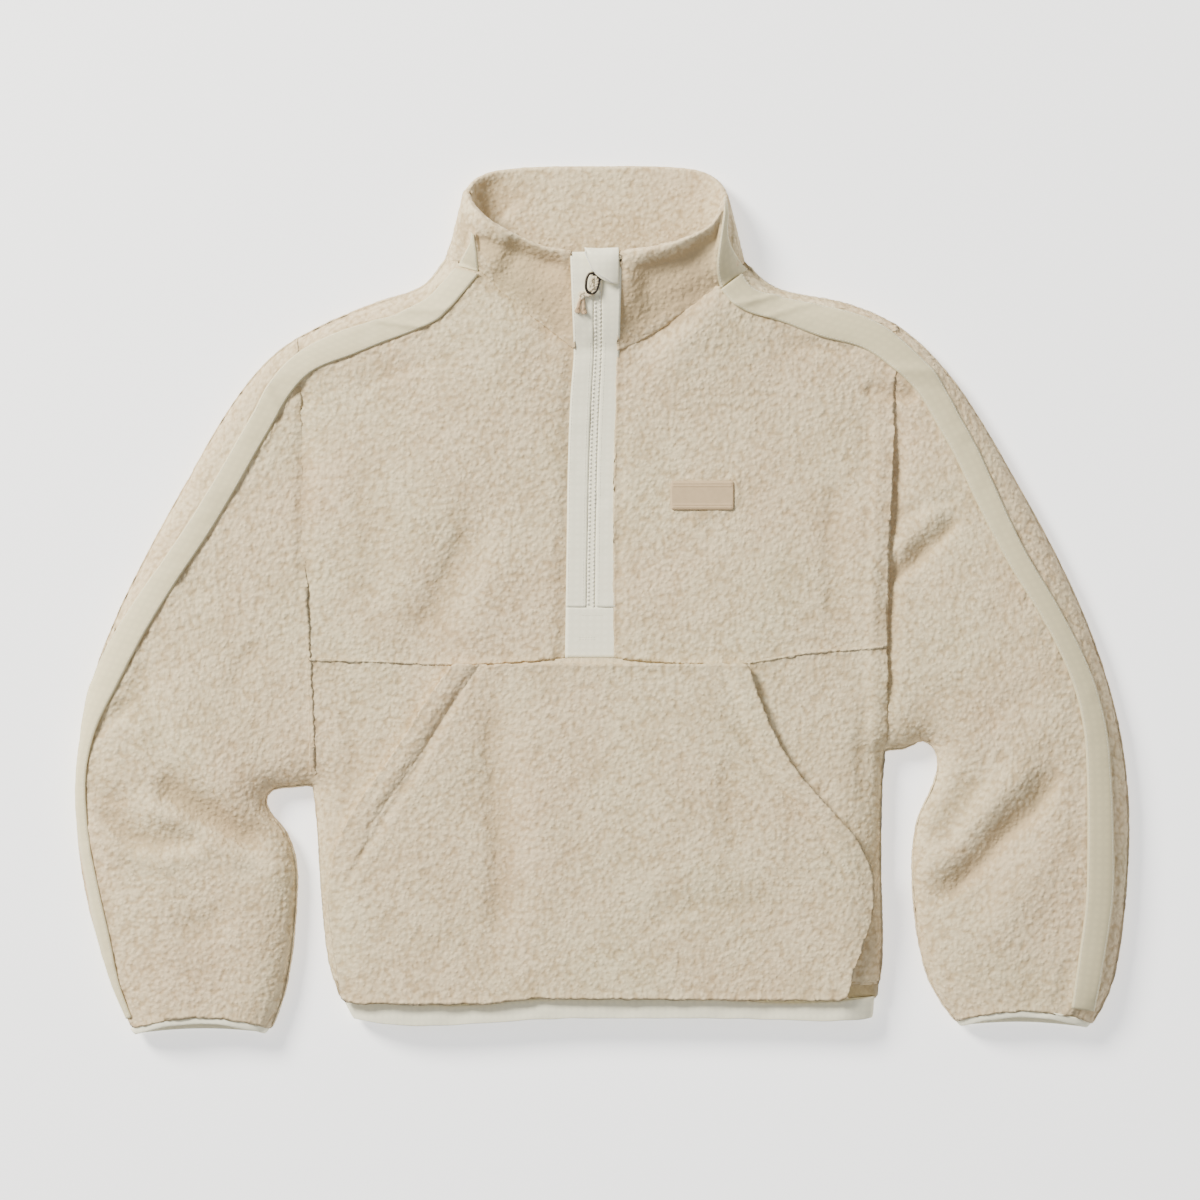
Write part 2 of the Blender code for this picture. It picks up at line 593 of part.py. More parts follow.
def make_front_yokes(paint):
    """The two upper fronts, from the front seam up to the shoulder folds and the neck."""
    rows = shares(YOKE_CELLS, end=0.6)
    left_edge = sampled(smooth(PLACKET_LEFT[::-1]), rows)
    right_edge = sampled(smooth(PLACKET_RIGHT[::-1]), rows)
    left = patch(SEAM_LEFT, joined(SHOULDER_LEFT[::-1], NECK["left"][::-1]), YOKE_LEFT[::-1], left_edge)
    right = patch(SEAM_RIGHT, joined(NECK["right"][::-1], SHOULDER_RIGHT), right_edge, YOKE_RIGHT[::-1])
    panel("front_left", top, drawn_in(left), FLEECE, paint)
    panel("front_right", top, drawn_in(right), FLEECE, paint)


def make_front_lower(paint):
    foot = np.linspace(SEAM_LEFT[-1], SEAM_RIGHT[0], 3)
    seam = joined(SEAM_LEFT, foot, SEAM_RIGHT)
    hem = sampled(HEM, fold_shares(HEM_LENGTH, len(seam) - 1))
    left = joined(LOWER_LEFT, SIDE_LEFT)[::-1]
    right = joined(LOWER_RIGHT, SIDE_RIGHT)[::-1]
    panel("front_lower", top, drawn_in(patch(hem, seam, left, right)), FLEECE, paint)


def make_back(paint):
    shoulders = joined(SHOULDER_LEFT[::-1], NECK["back"], SHOULDER_RIGHT)
    hem = sampled(HEM, fold_shares(HEM_LENGTH, len(shoulders) - 1))
    left = joined(YOKE_LEFT, LOWER_LEFT, SIDE_LEFT)[::-1]
    right = joined(YOKE_RIGHT, LOWER_RIGHT, SIDE_RIGHT)[::-1]
    panel("back", under, drawn_in(patch(hem, shoulders, left, right)), FLEECE, paint)


def pocket_sections():
    """Rows of the pocket from the front seam down, with each cell's distance from the nearer side."""
    cells = 9
    rows = shares(12)
    left = sampled(smooth(POCKET_LEFT), rows)
    right = sampled(smooth(POCKET_RIGHT), rows)
    near_side = np.array([0.0, 5.0, 12.0, POCKET_WELT - 1.0, POCKET_WELT + 1.5, POCKET_WELT + 6.0])
    inner = np.linspace(0, 1, cells + 1)[:, None]
    grid = []
    for one, other in zip(left, right):
        across = unit(other - one)
        start = one + near_side[:, None] * across
        end = (other - near_side[:, None] * across)[::-1]
        grid.append(joined(start, start[-1] + inner * (end[0] - start[-1]), end))
    away = np.concatenate([near_side, np.full(cells - 1, 99.0), near_side[::-1]])
    return np.array(grid), away, rows


def make_pocket(paint):
    """The kangaroo pocket: a raised welt along each mouth, and a stitched groove beside it."""
    grid, away, rows = pocket_sections()
    points, normals = top(drawn_in(grid, sides="bu"))
    welt = np.where(away < POCKET_WELT, 1.2, 0.0) - np.where(abs(away - POCKET_WELT) < 2.0, 1.4, 0.0)
    mouth = np.clip((POCKET_MOUTH - rows) / 0.1, 0, 1)
    thick = POCKET_FLEECE + mouth[:, None] * welt[None]
    inner = points + normals * (LAID_ON + 0.4)
    wall("pocket", inner + normals * thick[..., None], inner, paint)


def make_label(paint):
    x0, y0, x1, y1 = LABEL
    places = np.stack(np.meshgrid(np.linspace(x0, x1, 7), np.linspace(y0, y1, 4)), axis=-1)
    panel("label", top, places, LABEL_THICK, paint, lift=LAID_ON + LABEL_THICK)


# ---------------------------------------------------------------- sleeves


def cuff_line(outer, inner, arch, cells):
    """The open end of a sleeve, from its outer to its inner fold, bowed towards the armhole."""
    share = fold_shares(np.linalg.norm(inner - outer), cells)[:, None]
    return outer + share * (inner - outer) + [0.0, 1.0] * share * (1 - share) * 4 * arch


def sleeve_places(table, armhole_line, outer_line, inner_line, arch, stations=19):
    table = np.asarray(table)
    outer_at = [length_near(outer_line, row[:2]) for row in table]
    inner_at = [length_near(inner_line, row[2:]) for row in table]
    rows = np.linspace(0, len(table) - 1, stations + 1)
    outer = at_lengths(outer_line, np.interp(rows, range(len(table)), outer_at))
    inner = at_lengths(inner_line, np.interp(rows, range(len(table)), inner_at))
    outer[0], inner[0] = armhole_line[0], armhole_line[-1]
    cuff = cuff_line(outer[-1], inner[-1], arch, len(armhole_line) - 1)
    return drawn_in(patch(outer, inner, armhole_line, cuff))


def make_sleeve(side, table, armhole_line, outer_line, inner_line, paint):
    """A front and a back panel, which meet along the sleeve's two folds."""
    for layer, surface, arch in (("front", top, CUFF_ARCH), ("back", under, CUFF_ARCH_BACK)):
        places = sleeve_places(table, armhole_line, outer_line, inner_line, arch)
        panel(f"sleeve_{side}_{layer}", surface, places, FLEECE, paint)


# ---------------------------------------------------------------- bands at the open ends


def band(name, start, end, start_back, end_back, thick, recess, paint):
    """A closed band round an open end, between two lines on the top and two on the underside."""
    sections = []
    for surface, first, last in ((top, start, end), (under, start_back[::-1], end_back[::-1])):
        points, normals = surface(first)
        ends, _ = surface(last)
        sunk = normals * (recess * np.clip(normals[:, 2:] + 1, 0, 1))
        points, ends = points - sunk, ends - sunk
        near_end = points + 0.85 * (ends - points)
        loops = [
            points, near_end, ends - 0.3 * thick * normals, ends - 0.7 * thick * normals,
            near_end - thick * normals, points - thick * normals,
        ]
        sections.extend(np.stack(loops, axis=1)[:-1])
    return sleeve_of_rings(name, sections, paint, closed=True)


def make_hem_band(paint):
    spread = fold_shares(HEM_LENGTH, 28)
    gap = np.array([0.0, -WIDE_GAP])
    start = sampled(HEM, spread) + gap
    end = sampled(smooth(HEM_EDGE), spread)
    band("hem_band", start, end, start, end, BAND, BAND_RECESS, paint)


def make_cuff(side, outer, inner, outer_end, inner_end, paint):
    lines = []
    for arch in (CUFF_ARCH, CUFF_ARCH_BACK):
        lines.append(cuff_line(np.array(outer), np.array(inner), arch, 14) + [0.0, -WIDE_GAP])
        lines.append(cuff_line(np.array(outer_end), np.array(inner_end), arch, 14))
    band(f"cuff_binding_{side}", *lines, BINDING, 0.0, paint)


# ---------------------------------------------------------------- collar

COLLAR_SECTION = np.array([0.0, 0.08, 0.22, 0.4, 0.6, 0.8, 1.0])
RIM_TURNS = np.radians([40.0, 90.0, 140.0])


def collar_grid():
    """Outer and inner points of the whole collar: a row for each section, and its normals."""
    base, normal = [], []
    for part, surface in (("left", top), ("back", under), ("right", top)):
        points, normals = surface(NECK[part])
        base.append(points)
        normal.append(normals)
    base, normal = joined(*base), joined(*normal)
    rim = joined(RIM["left"], RIM["back"], RIM["right"])
    rim[:, 2] = np.maximum(rim[:, 2], 0.0)
    rise_of_wall = rim - base
    length = np.linalg.norm(rise_of_wall, axis=1)
    up = unit(rise_of_wall)
    tangent = np.gradient(base + rim, axis=0)
    out = -unit(np.cross(tangent, up))
    for end in (0, -1):
        out[end, 0] = 0.0
        normal[end, 0] = 0.0
    out, normal = unit(out), unit(normal)
    radius = COLLAR_FLEECE / 2
    share = WIDE_GAP / length[:, None] + COLLAR_SECTION * (1 - (radius + WIDE_GAP) / length[:, None])
    bulge = COLLAR_BULGE * np.clip(out[:, 2:], 0, 1) * np.sin(np.pi * share)
    outer = base[:, None] + rise_of_wall[:, None] * share[..., None]
    outer = outer + out[:, None] * bulge[..., None]
    outer[..., 2] = np.maximum(outer[..., 2], 0.0)
    blend = np.clip(share / 0.3, 0, 1)[..., None]
    thick = FLEECE + (COLLAR_FLEECE - FLEECE) * blend
    normals = unit((1 - blend) * normal[:, None] + blend * out[:, None])
    centre = outer[:, -1] - out * radius
    turns = [np.cos(a) * out + np.sin(a) * up for a in RIM_TURNS]
    crest = np.stack([centre + radius * turn for turn in turns], axis=1)
    crest[..., 2] = np.maximum(crest[..., 2], 0.0)
    inner = (outer - thick * normals)[:, ::-1]
    return outer, crest, inner, normals, np.stack(turns, axis=1)


def make_collar(paint, tape_paint):
    """Three pieces, seamed at the sides of the neck, with a tape over each of those seams' fronts."""
    outer, crest, inner, normals, turns = collar_grid()
    sections = np.concatenate([outer, crest, inner], axis=1)
    left_side, right_side = NECK_CELLS, NECK_CELLS + BACK_NECK_CELLS
    pieces = {
        "collar_left": (0, left_side),
        "collar_back": (left_side, right_side),
        "collar_right": (right_side, len(sections) - 1),
    }
    for name, (first, last) in pieces.items():
        rings = sections[first : last + 1].copy()
        rings[0] += WIDE_GAP / 2 * unit(rings[1] - rings[0])
        rings[-1] += WIDE_GAP / 2 * unit(rings[-2] - rings[-1])
        sleeve_of_rings(name, rings, paint)
    skin = np.concatenate([outer, crest], axis=1)
    skin_normals = np.concatenate([normals, turns], axis=1)
    tapes = {"tape_left_collar": left_side - TAPE_CELLS, "tape_right_collar": right_side}
    for name, first in tapes.items():
        across = np.s_[first : first + TAPE_CELLS + 1]
        inner_face = skin[across] + skin_normals[across] * SEAM_GAP
        wall(name, inner_face + skin_normals[across] * TAPE, inner_face, tape_paint)
    return skin, skin_normals


# ---------------------------------------------------------------- tapes


def walk(start, heading, width, cells):
    """Points and normals across a strip, from a place on top and over the side fold if need be.

    The strip stops short of the table.
    """
    away, place = 0.0, start
    for _ in range(60):
        step = EDGE.near(place)[0]
        away = away + step
        place = start + away * heading
        if step < 0.05 or away > 70.0:
            break
    fine = away * np.sin(np.linspace(0, math.pi / 2, 40))
    points, normals = top(start + fine[:, None] * heading)
    if away < 70.0:
        back = np.linspace(0, 1, 30)[1:] ** 2 * 30.0
        more, more_normals = under(place - back[:, None] * heading)
        points, normals = np.concatenate([points, more]), np.concatenate([normals, more_normals])
    clear = points[:, 2] + normals[:, 2] * (LAID_ON + TAPE) > 0.2
    points, normals = points[clear], normals[clear]
    at = run_lengths(points)
    lengths = np.linspace(0, min(width, at[-1]), cells + 1)
    both = np.concatenate([points, normals], axis=1)
    found = np.stack([np.interp(lengths, at, both[:, k]) for k in range(6)], axis=1)
    return found[:, :3], unit(found[:, 3:])


def make_tape(name, table, side, first_edge, paint, stations=46, cells=5):
    """The tape over the shoulder and down the sleeve. side is 1 where it lies left of its path."""
    path = smooth(table)
    line = sampled(path, np.linspace(0.004, 1, stations + 1))
    forward = unit(np.gradient(line, axis=0))
    headings = side * np.stack([-forward[:, 1], forward[:, 0]], axis=1)
    start = np.array([math.cos(math.radians(first_edge)), math.sin(math.radians(first_edge))])
    ease = np.clip(1 - np.arange(stations + 1) / 4, 0, 1)[:, None]
    headings = unit(ease * start + (1 - ease) * headings)
    rows = [walk(p, h, TAPE_WIDTH, cells) for p, h in zip(line, headings)]
    points = np.array([row[0] for row in rows])
    normals = np.array([row[1] for row in rows])
    inner = points + LAID_ON * normals
    wall(name, inner + TAPE * normals, inner, paint)


# ---------------------------------------------------------------- zip


class Placket:
    """The strip between the two fronts, from the collar's rim to the front seam, rows going down."""

    def __init__(self, skin, skin_normals):
        rows = np.s_[::-1]
        self.left, self.right = skin[0, :-1][rows], skin[-1, :-1][rows]
        self.normals = unit(skin_normals[0, :-1] + skin_normals[-1, :-1])[rows]
        cells = np.linspace(0.02, 1, 19)
        self.left_edge = sampled(smooth(PLACKET_LEFT), cells)
        self.right_edge = sampled(smooth(PLACKET_RIGHT), cells)

    def face(self, across, sunk, body=np.s_[:]):
        """Points at shares of the width, a row each in across, sunk below the pile; their normals."""
        split = len(self.left)
        share = across[:split, :, None]
        on_collar = self.left[:, None] + share * (self.right - self.left)[:, None]
        collar_normals = np.broadcast_to(self.normals[:, None], on_collar.shape)
        width = (self.right_edge - self.left_edge)[:, None]
        on_body, body_normals = top(self.left_edge[:, None] + across[split:, :, None] * width)
        points = np.concatenate([on_collar, on_body])
        normals = np.concatenate([collar_normals, body_normals])
        return (points - sunk * normals)[body], normals[body]

    def rows(self):
        """y of each row, and the share of the width where the chain lies there."""
        y = np.concatenate([self.left[:, 1], self.left_edge[:, 1]])
        return y, np.interp(y, *zip(*CHAIN_ACROSS))

    def spot(self, x, y, height=0.0):
        """The point over the tape beside the zip at a place, and its normal."""
        across = np.tile(np.linspace(0, 1, 9), (len(self.left) + len(self.left_edge), 1))
        points, normals = self.face(across, PLACKET_RECESS)
        nearest = np.hypot(points[..., 0] - x, points[..., 1] - y)
        weight = 1 / (nearest + 0.5) ** 4
        z = (weight * points[..., 2]).sum() / weight.sum()
        normal = unit((weight[..., None] * normals).sum((0, 1)))
        return np.array([x, y, z]) + height * normal, normal


def make_placket(placket, tape_paint, teeth_paint):
    y, chain = placket.rows()
    narrow = CHAIN_WIDTH / 2 / PLACKET_WIDTH
    half = narrow + SEAM_GAP / PLACKET_WIDTH
    margin = 0.5 / PLACKET_WIDTH
    foot_row = len(placket.left) + int(round(FOOT_SHARE * (len(placket.left_edge) - 1)))
    down_to_foot, foot = np.s_[: foot_row + 1], np.s_[foot_row:]
    left_margin, right_margin = np.full_like(chain, margin), np.full_like(chain, 1 - margin)

    def strip(name, first, last, cells, sunk, thick, paint):
        across = first[:, None] + np.linspace(0, 1, cells + 1) * (last - first)[:, None]
        outer, normals = placket.face(across, sunk, down_to_foot)
        wall(name, outer, outer - thick * normals, paint)

    strip("zip_placket_left", left_margin, chain - half, 2, PLACKET_RECESS, PLACKET_THICK, tape_paint)
    strip("zip_placket_right", chain + half, right_margin, 2, PLACKET_RECESS, PLACKET_THICK, tape_paint)
    teeth_sunk = PLACKET_RECESS - CHAIN_PROUD
    strip("zip_chain", chain - narrow, chain + narrow, 1, teeth_sunk, CHAIN_THICK, teeth_paint)
    across = np.tile(np.linspace(margin, 1 - margin, 5), (len(y), 1))
    outer, normals = placket.face(across, PLACKET_RECESS, foot)
    outer[0] += SEAM_GAP * unit(outer[1] - outer[0])
    outer[-1] += SEAM_GAP * unit(outer[-2] - outer[-1])
    wall("zip_placket_foot", outer, outer - PLACKET_THICK * normals, tape_paint)


def make_guard(placket, paint):
    """The flap over the top of the zip: sewn along the rim and its right side, lifted over the slider."""
    columns = np.linspace(0, 1, 8)
    edge = np.array(GUARD_EDGE) * [PLACKET_WIDTH, 1.0] + [PLACKET_X, 0.0]
    edge_x, edge_y = sampled(edge, columns).T
    top_start = PLACKET_X + GUARD_TOP * PLACKET_WIDTH
    top_x = top_start + columns * (edge[-1, 0] - top_start)
    grid, normals = [], []
    for down in np.linspace(0, 1, 5):
        x = (1 - down) * top_x + down * edge_x
        y = (1 - down) * GUARD_TOP_Y + down * edge_y
        off_middle = (x - PLACKET_X) / PLACKET_WIDTH - 0.5
        lift = GUARD_SEWN + GUARD_LIFT * down**0.6 * (1 - (off_middle / 0.52) ** 2)
        spots = [placket.spot(*at) for at in zip(x, y, lift)]
        grid.append([spot[0] for spot in spots])
        normals.append([spot[1] for spot in spots])
    inner, normals = np.array(grid), np.array(normals)
    wall("chin_guard", inner + GUARD_THICK * normals, inner, paint)


def hinge_frame(placket):
    """The pull's hinge: X along its axis, Y up the zip, Z off the cloth, origin in the ring's top bar."""
    x = PLACKET_X + PLACKET_WIDTH * np.interp(HINGE_Y, *zip(*CHAIN_ACROSS))
    origin, _ = placket.spot(x, HINGE_Y)
    lower, _ = placket.spot(x, HINGE_Y - 8.0)
    upper, _ = placket.spot(x, HINGE_Y + 8.0)
    up = unit(np.array([0.0, *(upper - lower)[1:]]))
    out = np.cross([1.0, 0.0, 0.0], up)
    frame = Matrix([(1, 0, 0), (0, up[1], out[1]), (0, up[2], out[2])]).to_4x4()
    frame.translation = Vector(origin + HINGE_HEIGHT * out) * MM
    return frame


def box_body(name, size, centre, bevel, paint):
    bm = bmesh.new()
    bmesh.ops.create_cube(bm, size=1.0)
    bmesh.ops.scale(bm, vec=Vector(size) * MM, verts=bm.verts)
    bmesh.ops.bevel(bm, geom=bm.edges[:], offset=bevel * MM, segments=2, affect="EDGES", profile=0.5)
    bmesh.ops.translate(bm, vec=Vector(centre) * MM, verts=bm.verts)
    return make_object(name, bm, paint)


def make_slider(frame, paint):
    """The slider's top plate, with the strap that holds the pull ring's bar."""
    strap_width, strap = BRIDGE
    plate_top = -WIRE / 2 - SEAM_GAP
    plate = box_body("zip_slider", SLIDER, (0, SLIDER_AHEAD, plate_top - SLIDER[2] / 2), 0.5, paint)

    def arch(radius):
        turns = np.radians(np.linspace(0, 180, 9))
        line = [(radius, plate_top - 0.5)]
        line += [(radius * math.cos(a), radius * math.sin(a)) for a in turns]
        line.append((-radius, plate_top - 0.5))
        return np.array([[(x, y, z) for y, z in line] for x in (-strap_width / 2, strap_width / 2)])

    reach = WIRE / 2 + SEAM_GAP
    strap_body = wall("zip_slider_strap", arch(reach + strap), arch(reach), paint)
    unite(plate, strap_body)
    for made in (plate, strap_body):
        made.matrix_world = frame


def ring_line(corners=5):
    """The pull ring's centre line, its top bar through the hinge."""
    half, low = RING_WIDTH / 2 - RING_CORNER, RING_LENGTH - RING_CORNER
    high = RING_CORNER * 0.5
    corner_centres = [(half, -high, 0.5), (-half, -high, 0.5), (-half, -low, 1.0), (half, -low, 1.0)]
    line = []
    for k, (x, y, squash) in enumerate(corner_centres):
        for a in np.radians(90 * k + np.linspace(0, 90, corners)):
            line.append((x + RING_CORNER * math.cos(a), y + squash * RING_CORNER * math.sin(a), 0.0))
    return line


def tube(name, line, diameter, paint, closed=False, sides=8):
    """A round tube along a line in space."""
    line = np.asarray(line, float)
    ahead = np.roll(line, -1, axis=0) - np.roll(line, 1, axis=0)
    if not closed:
        ahead[0], ahead[-1] = line[1] - line[0], line[-1] - line[-2]
    ahead = unit(ahead)
    across = unit(np.cross(ahead, [0.0, 0.0, 1.0]))
    over = np.cross(across, ahead)
    rings = []
    for turn in np.linspace(0, 2 * math.pi, sides, endpoint=False):
        rings.append(line + diameter / 2 * (math.cos(turn) * across + math.sin(turn) * over))
    return sleeve_of_rings(name, np.stack(rings, axis=1), paint, closed=closed)


def unite(body, other):
    """Add the other solid to the body, and keep it only as a guide."""
    other.hide_render = True
    other.display_type = "WIRE"
    union = body.modifiers.new(other.name, "BOOLEAN")
    union.operation = "UNION"
    union.object = other


def make_pull(placket, frame, metal_paint, cord_paint):
    """The wire ring in the slider's strap, and the short tied cord through it, on one hinge."""
    hinge = bpy.data.objects.new("pull_hinge", None)
    bpy.context.scene.collection.objects.link(hinge)
    hinge.matrix_world = frame
    ring = tube("pull_ring", ring_line(), WIRE, metal_paint, closed=True)
    ring.parent = hinge
    ring.location.x = RING_ASIDE * MM

    bm = bmesh.new()
    bmesh.ops.create_icosphere(bm, subdivisions=2, radius=0.5)
    bmesh.ops.scale(bm, vec=Vector(KNOT) * MM, verts=bm.verts)
    to_hinge = frame.inverted()
    knot_at = to_hinge @ (Vector(placket.spot(*KNOT_AT)[0]) * MM)
    bmesh.ops.translate(bm, vec=knot_at, verts=bm.verts)
    cord = make_object("pull_cord", bm, cord_paint)
    cord.parent = hinge
    for name, table in CORD_RUNS.items():
        route = smooth([placket.spot(*row)[0] for row in table], step=1.2)
        line = sampled(route, np.linspace(0, 1, max(4, int(run_lengths(route)[-1] / 2.2) + 1)))
        local = [to_hinge @ (Vector(point) * MM) / MM for point in line]
        run = tube(f"pull_cord_{name}", local, CORD, cord_paint)
        run.parent = hinge
        unite(cord, run)


def main():
    clear_scene()
    fleece = material("sherpa_fleece", (0.62, 0.54, 0.44), 0.95)
    tape = material("woven_tape", (0.63, 0.58, 0.46), 0.7)
    white_tape = material("white_woven_tape", (0.72, 0.70, 0.64), 0.65)
    teeth = material("moulded_teeth", (0.66, 0.62, 0.53), 0.4)
    metal = material("gunmetal", (0.06, 0.055, 0.05), 0.35, 1.0)
    cord = material("cotton_cord", (0.55, 0.46, 0.36), 0.85)
    patch_paint = material("embossed_patch", (0.56, 0.46, 0.36), 0.5)

    make_front_yokes(fleece)
    make_front_lower(fleece)
    make_back(fleece)
    make_pocket(fleece)
    make_label(patch_paint)
    armholes = {"left": joined(YOKE_LEFT, LOWER_LEFT), "right": joined(YOKE_RIGHT, LOWER_RIGHT)}
    for side, table in (("left", SLEEVE_LEFT), ("right", SLEEVE_RIGHT)):
        lines = EDGE_LINES[f"{side}_outer"], EDGE_LINES[f"{side}_underarm"]
        make_sleeve(side, table, armholes[side], *lines, fleece)
        make_cuff(side, *CUFFS[side], white_tape)
    make_hem_band(white_tape)
    placket = Placket(*make_collar(fleece, tape))
    make_tape("tape_left", TAPE_LEFT, -1, TAPE_START_LEFT, tape)
    make_tape("tape_right", TAPE_RIGHT, 1, TAPE_START_RIGHT, tape)
    make_placket(placket, white_tape, teeth)
    make_guard(placket, white_tape)
    frame = hinge_frame(placket)
    make_slider(frame, metal)
    make_pull(placket, frame, metal, cord)


main()
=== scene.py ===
"""A half-zip sherpa pullover laid flat: its pile, tapes, bands, zip, pull, label and stitching."""

import itertools
from math import cos, pi, radians, sin

import bmesh
import bpy
import numpy as np
from bpy.props import FloatProperty, FloatVectorProperty, PointerProperty
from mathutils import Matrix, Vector
from mathutils.bvhtree import BVHTree
from mathutils.kdtree import KDTree


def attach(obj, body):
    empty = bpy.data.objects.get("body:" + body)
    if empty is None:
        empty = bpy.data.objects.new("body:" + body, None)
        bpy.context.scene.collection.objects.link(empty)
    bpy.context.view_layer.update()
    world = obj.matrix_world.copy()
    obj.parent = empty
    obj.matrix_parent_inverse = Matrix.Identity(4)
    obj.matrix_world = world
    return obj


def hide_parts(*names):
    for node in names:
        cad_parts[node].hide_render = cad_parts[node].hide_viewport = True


bl_info = {
    "name": "Half-zip sherpa pullover",
    "version": (1, 0, 0),
    "blender": (4, 5, 0),
    "location": "View3D > Sidebar > Pullover",
    "description": "Dresses the packed pullover with pile, tapes, stitching, zip, pull and label",
    "category": "Add Mesh",
}

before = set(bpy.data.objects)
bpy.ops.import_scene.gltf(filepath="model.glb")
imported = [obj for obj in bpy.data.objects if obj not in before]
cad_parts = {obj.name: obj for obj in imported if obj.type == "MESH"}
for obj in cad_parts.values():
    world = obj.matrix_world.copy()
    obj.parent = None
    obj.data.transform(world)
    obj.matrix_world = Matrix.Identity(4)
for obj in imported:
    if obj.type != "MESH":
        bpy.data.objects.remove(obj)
bpy.context.view_layer.update()

MM = 0.001
WELD = 2e-6  # m, closer than any two corners of one node
SHARP = radians(48)  # a shell's skins meet its rim at more than this
SHOWN, HIDDEN = 0, 1  # material slots: the skin that shows, and the rest of the shell

# How the pile gives way to what lies on it and at its seams, in m
TOUCH = 1.0 * MM  # a face this near to a cover is under it
OVERHANG = 12 * MM  # and so is one that looks up at a cover this near
PRESSED = 0.9 * MM  # this near to a cover, the pile is pressed flat
FREE = 1.9 * MM  # this far from it, the pile stands
SEAM = 3 * MM  # the pile is lower this near to a seam

TAPE_THICKNESS = 0.8 * MM
ROUNDED_END = {0: 0.55, 1: 0.9}  # a tube's share of its radius at its last two rings

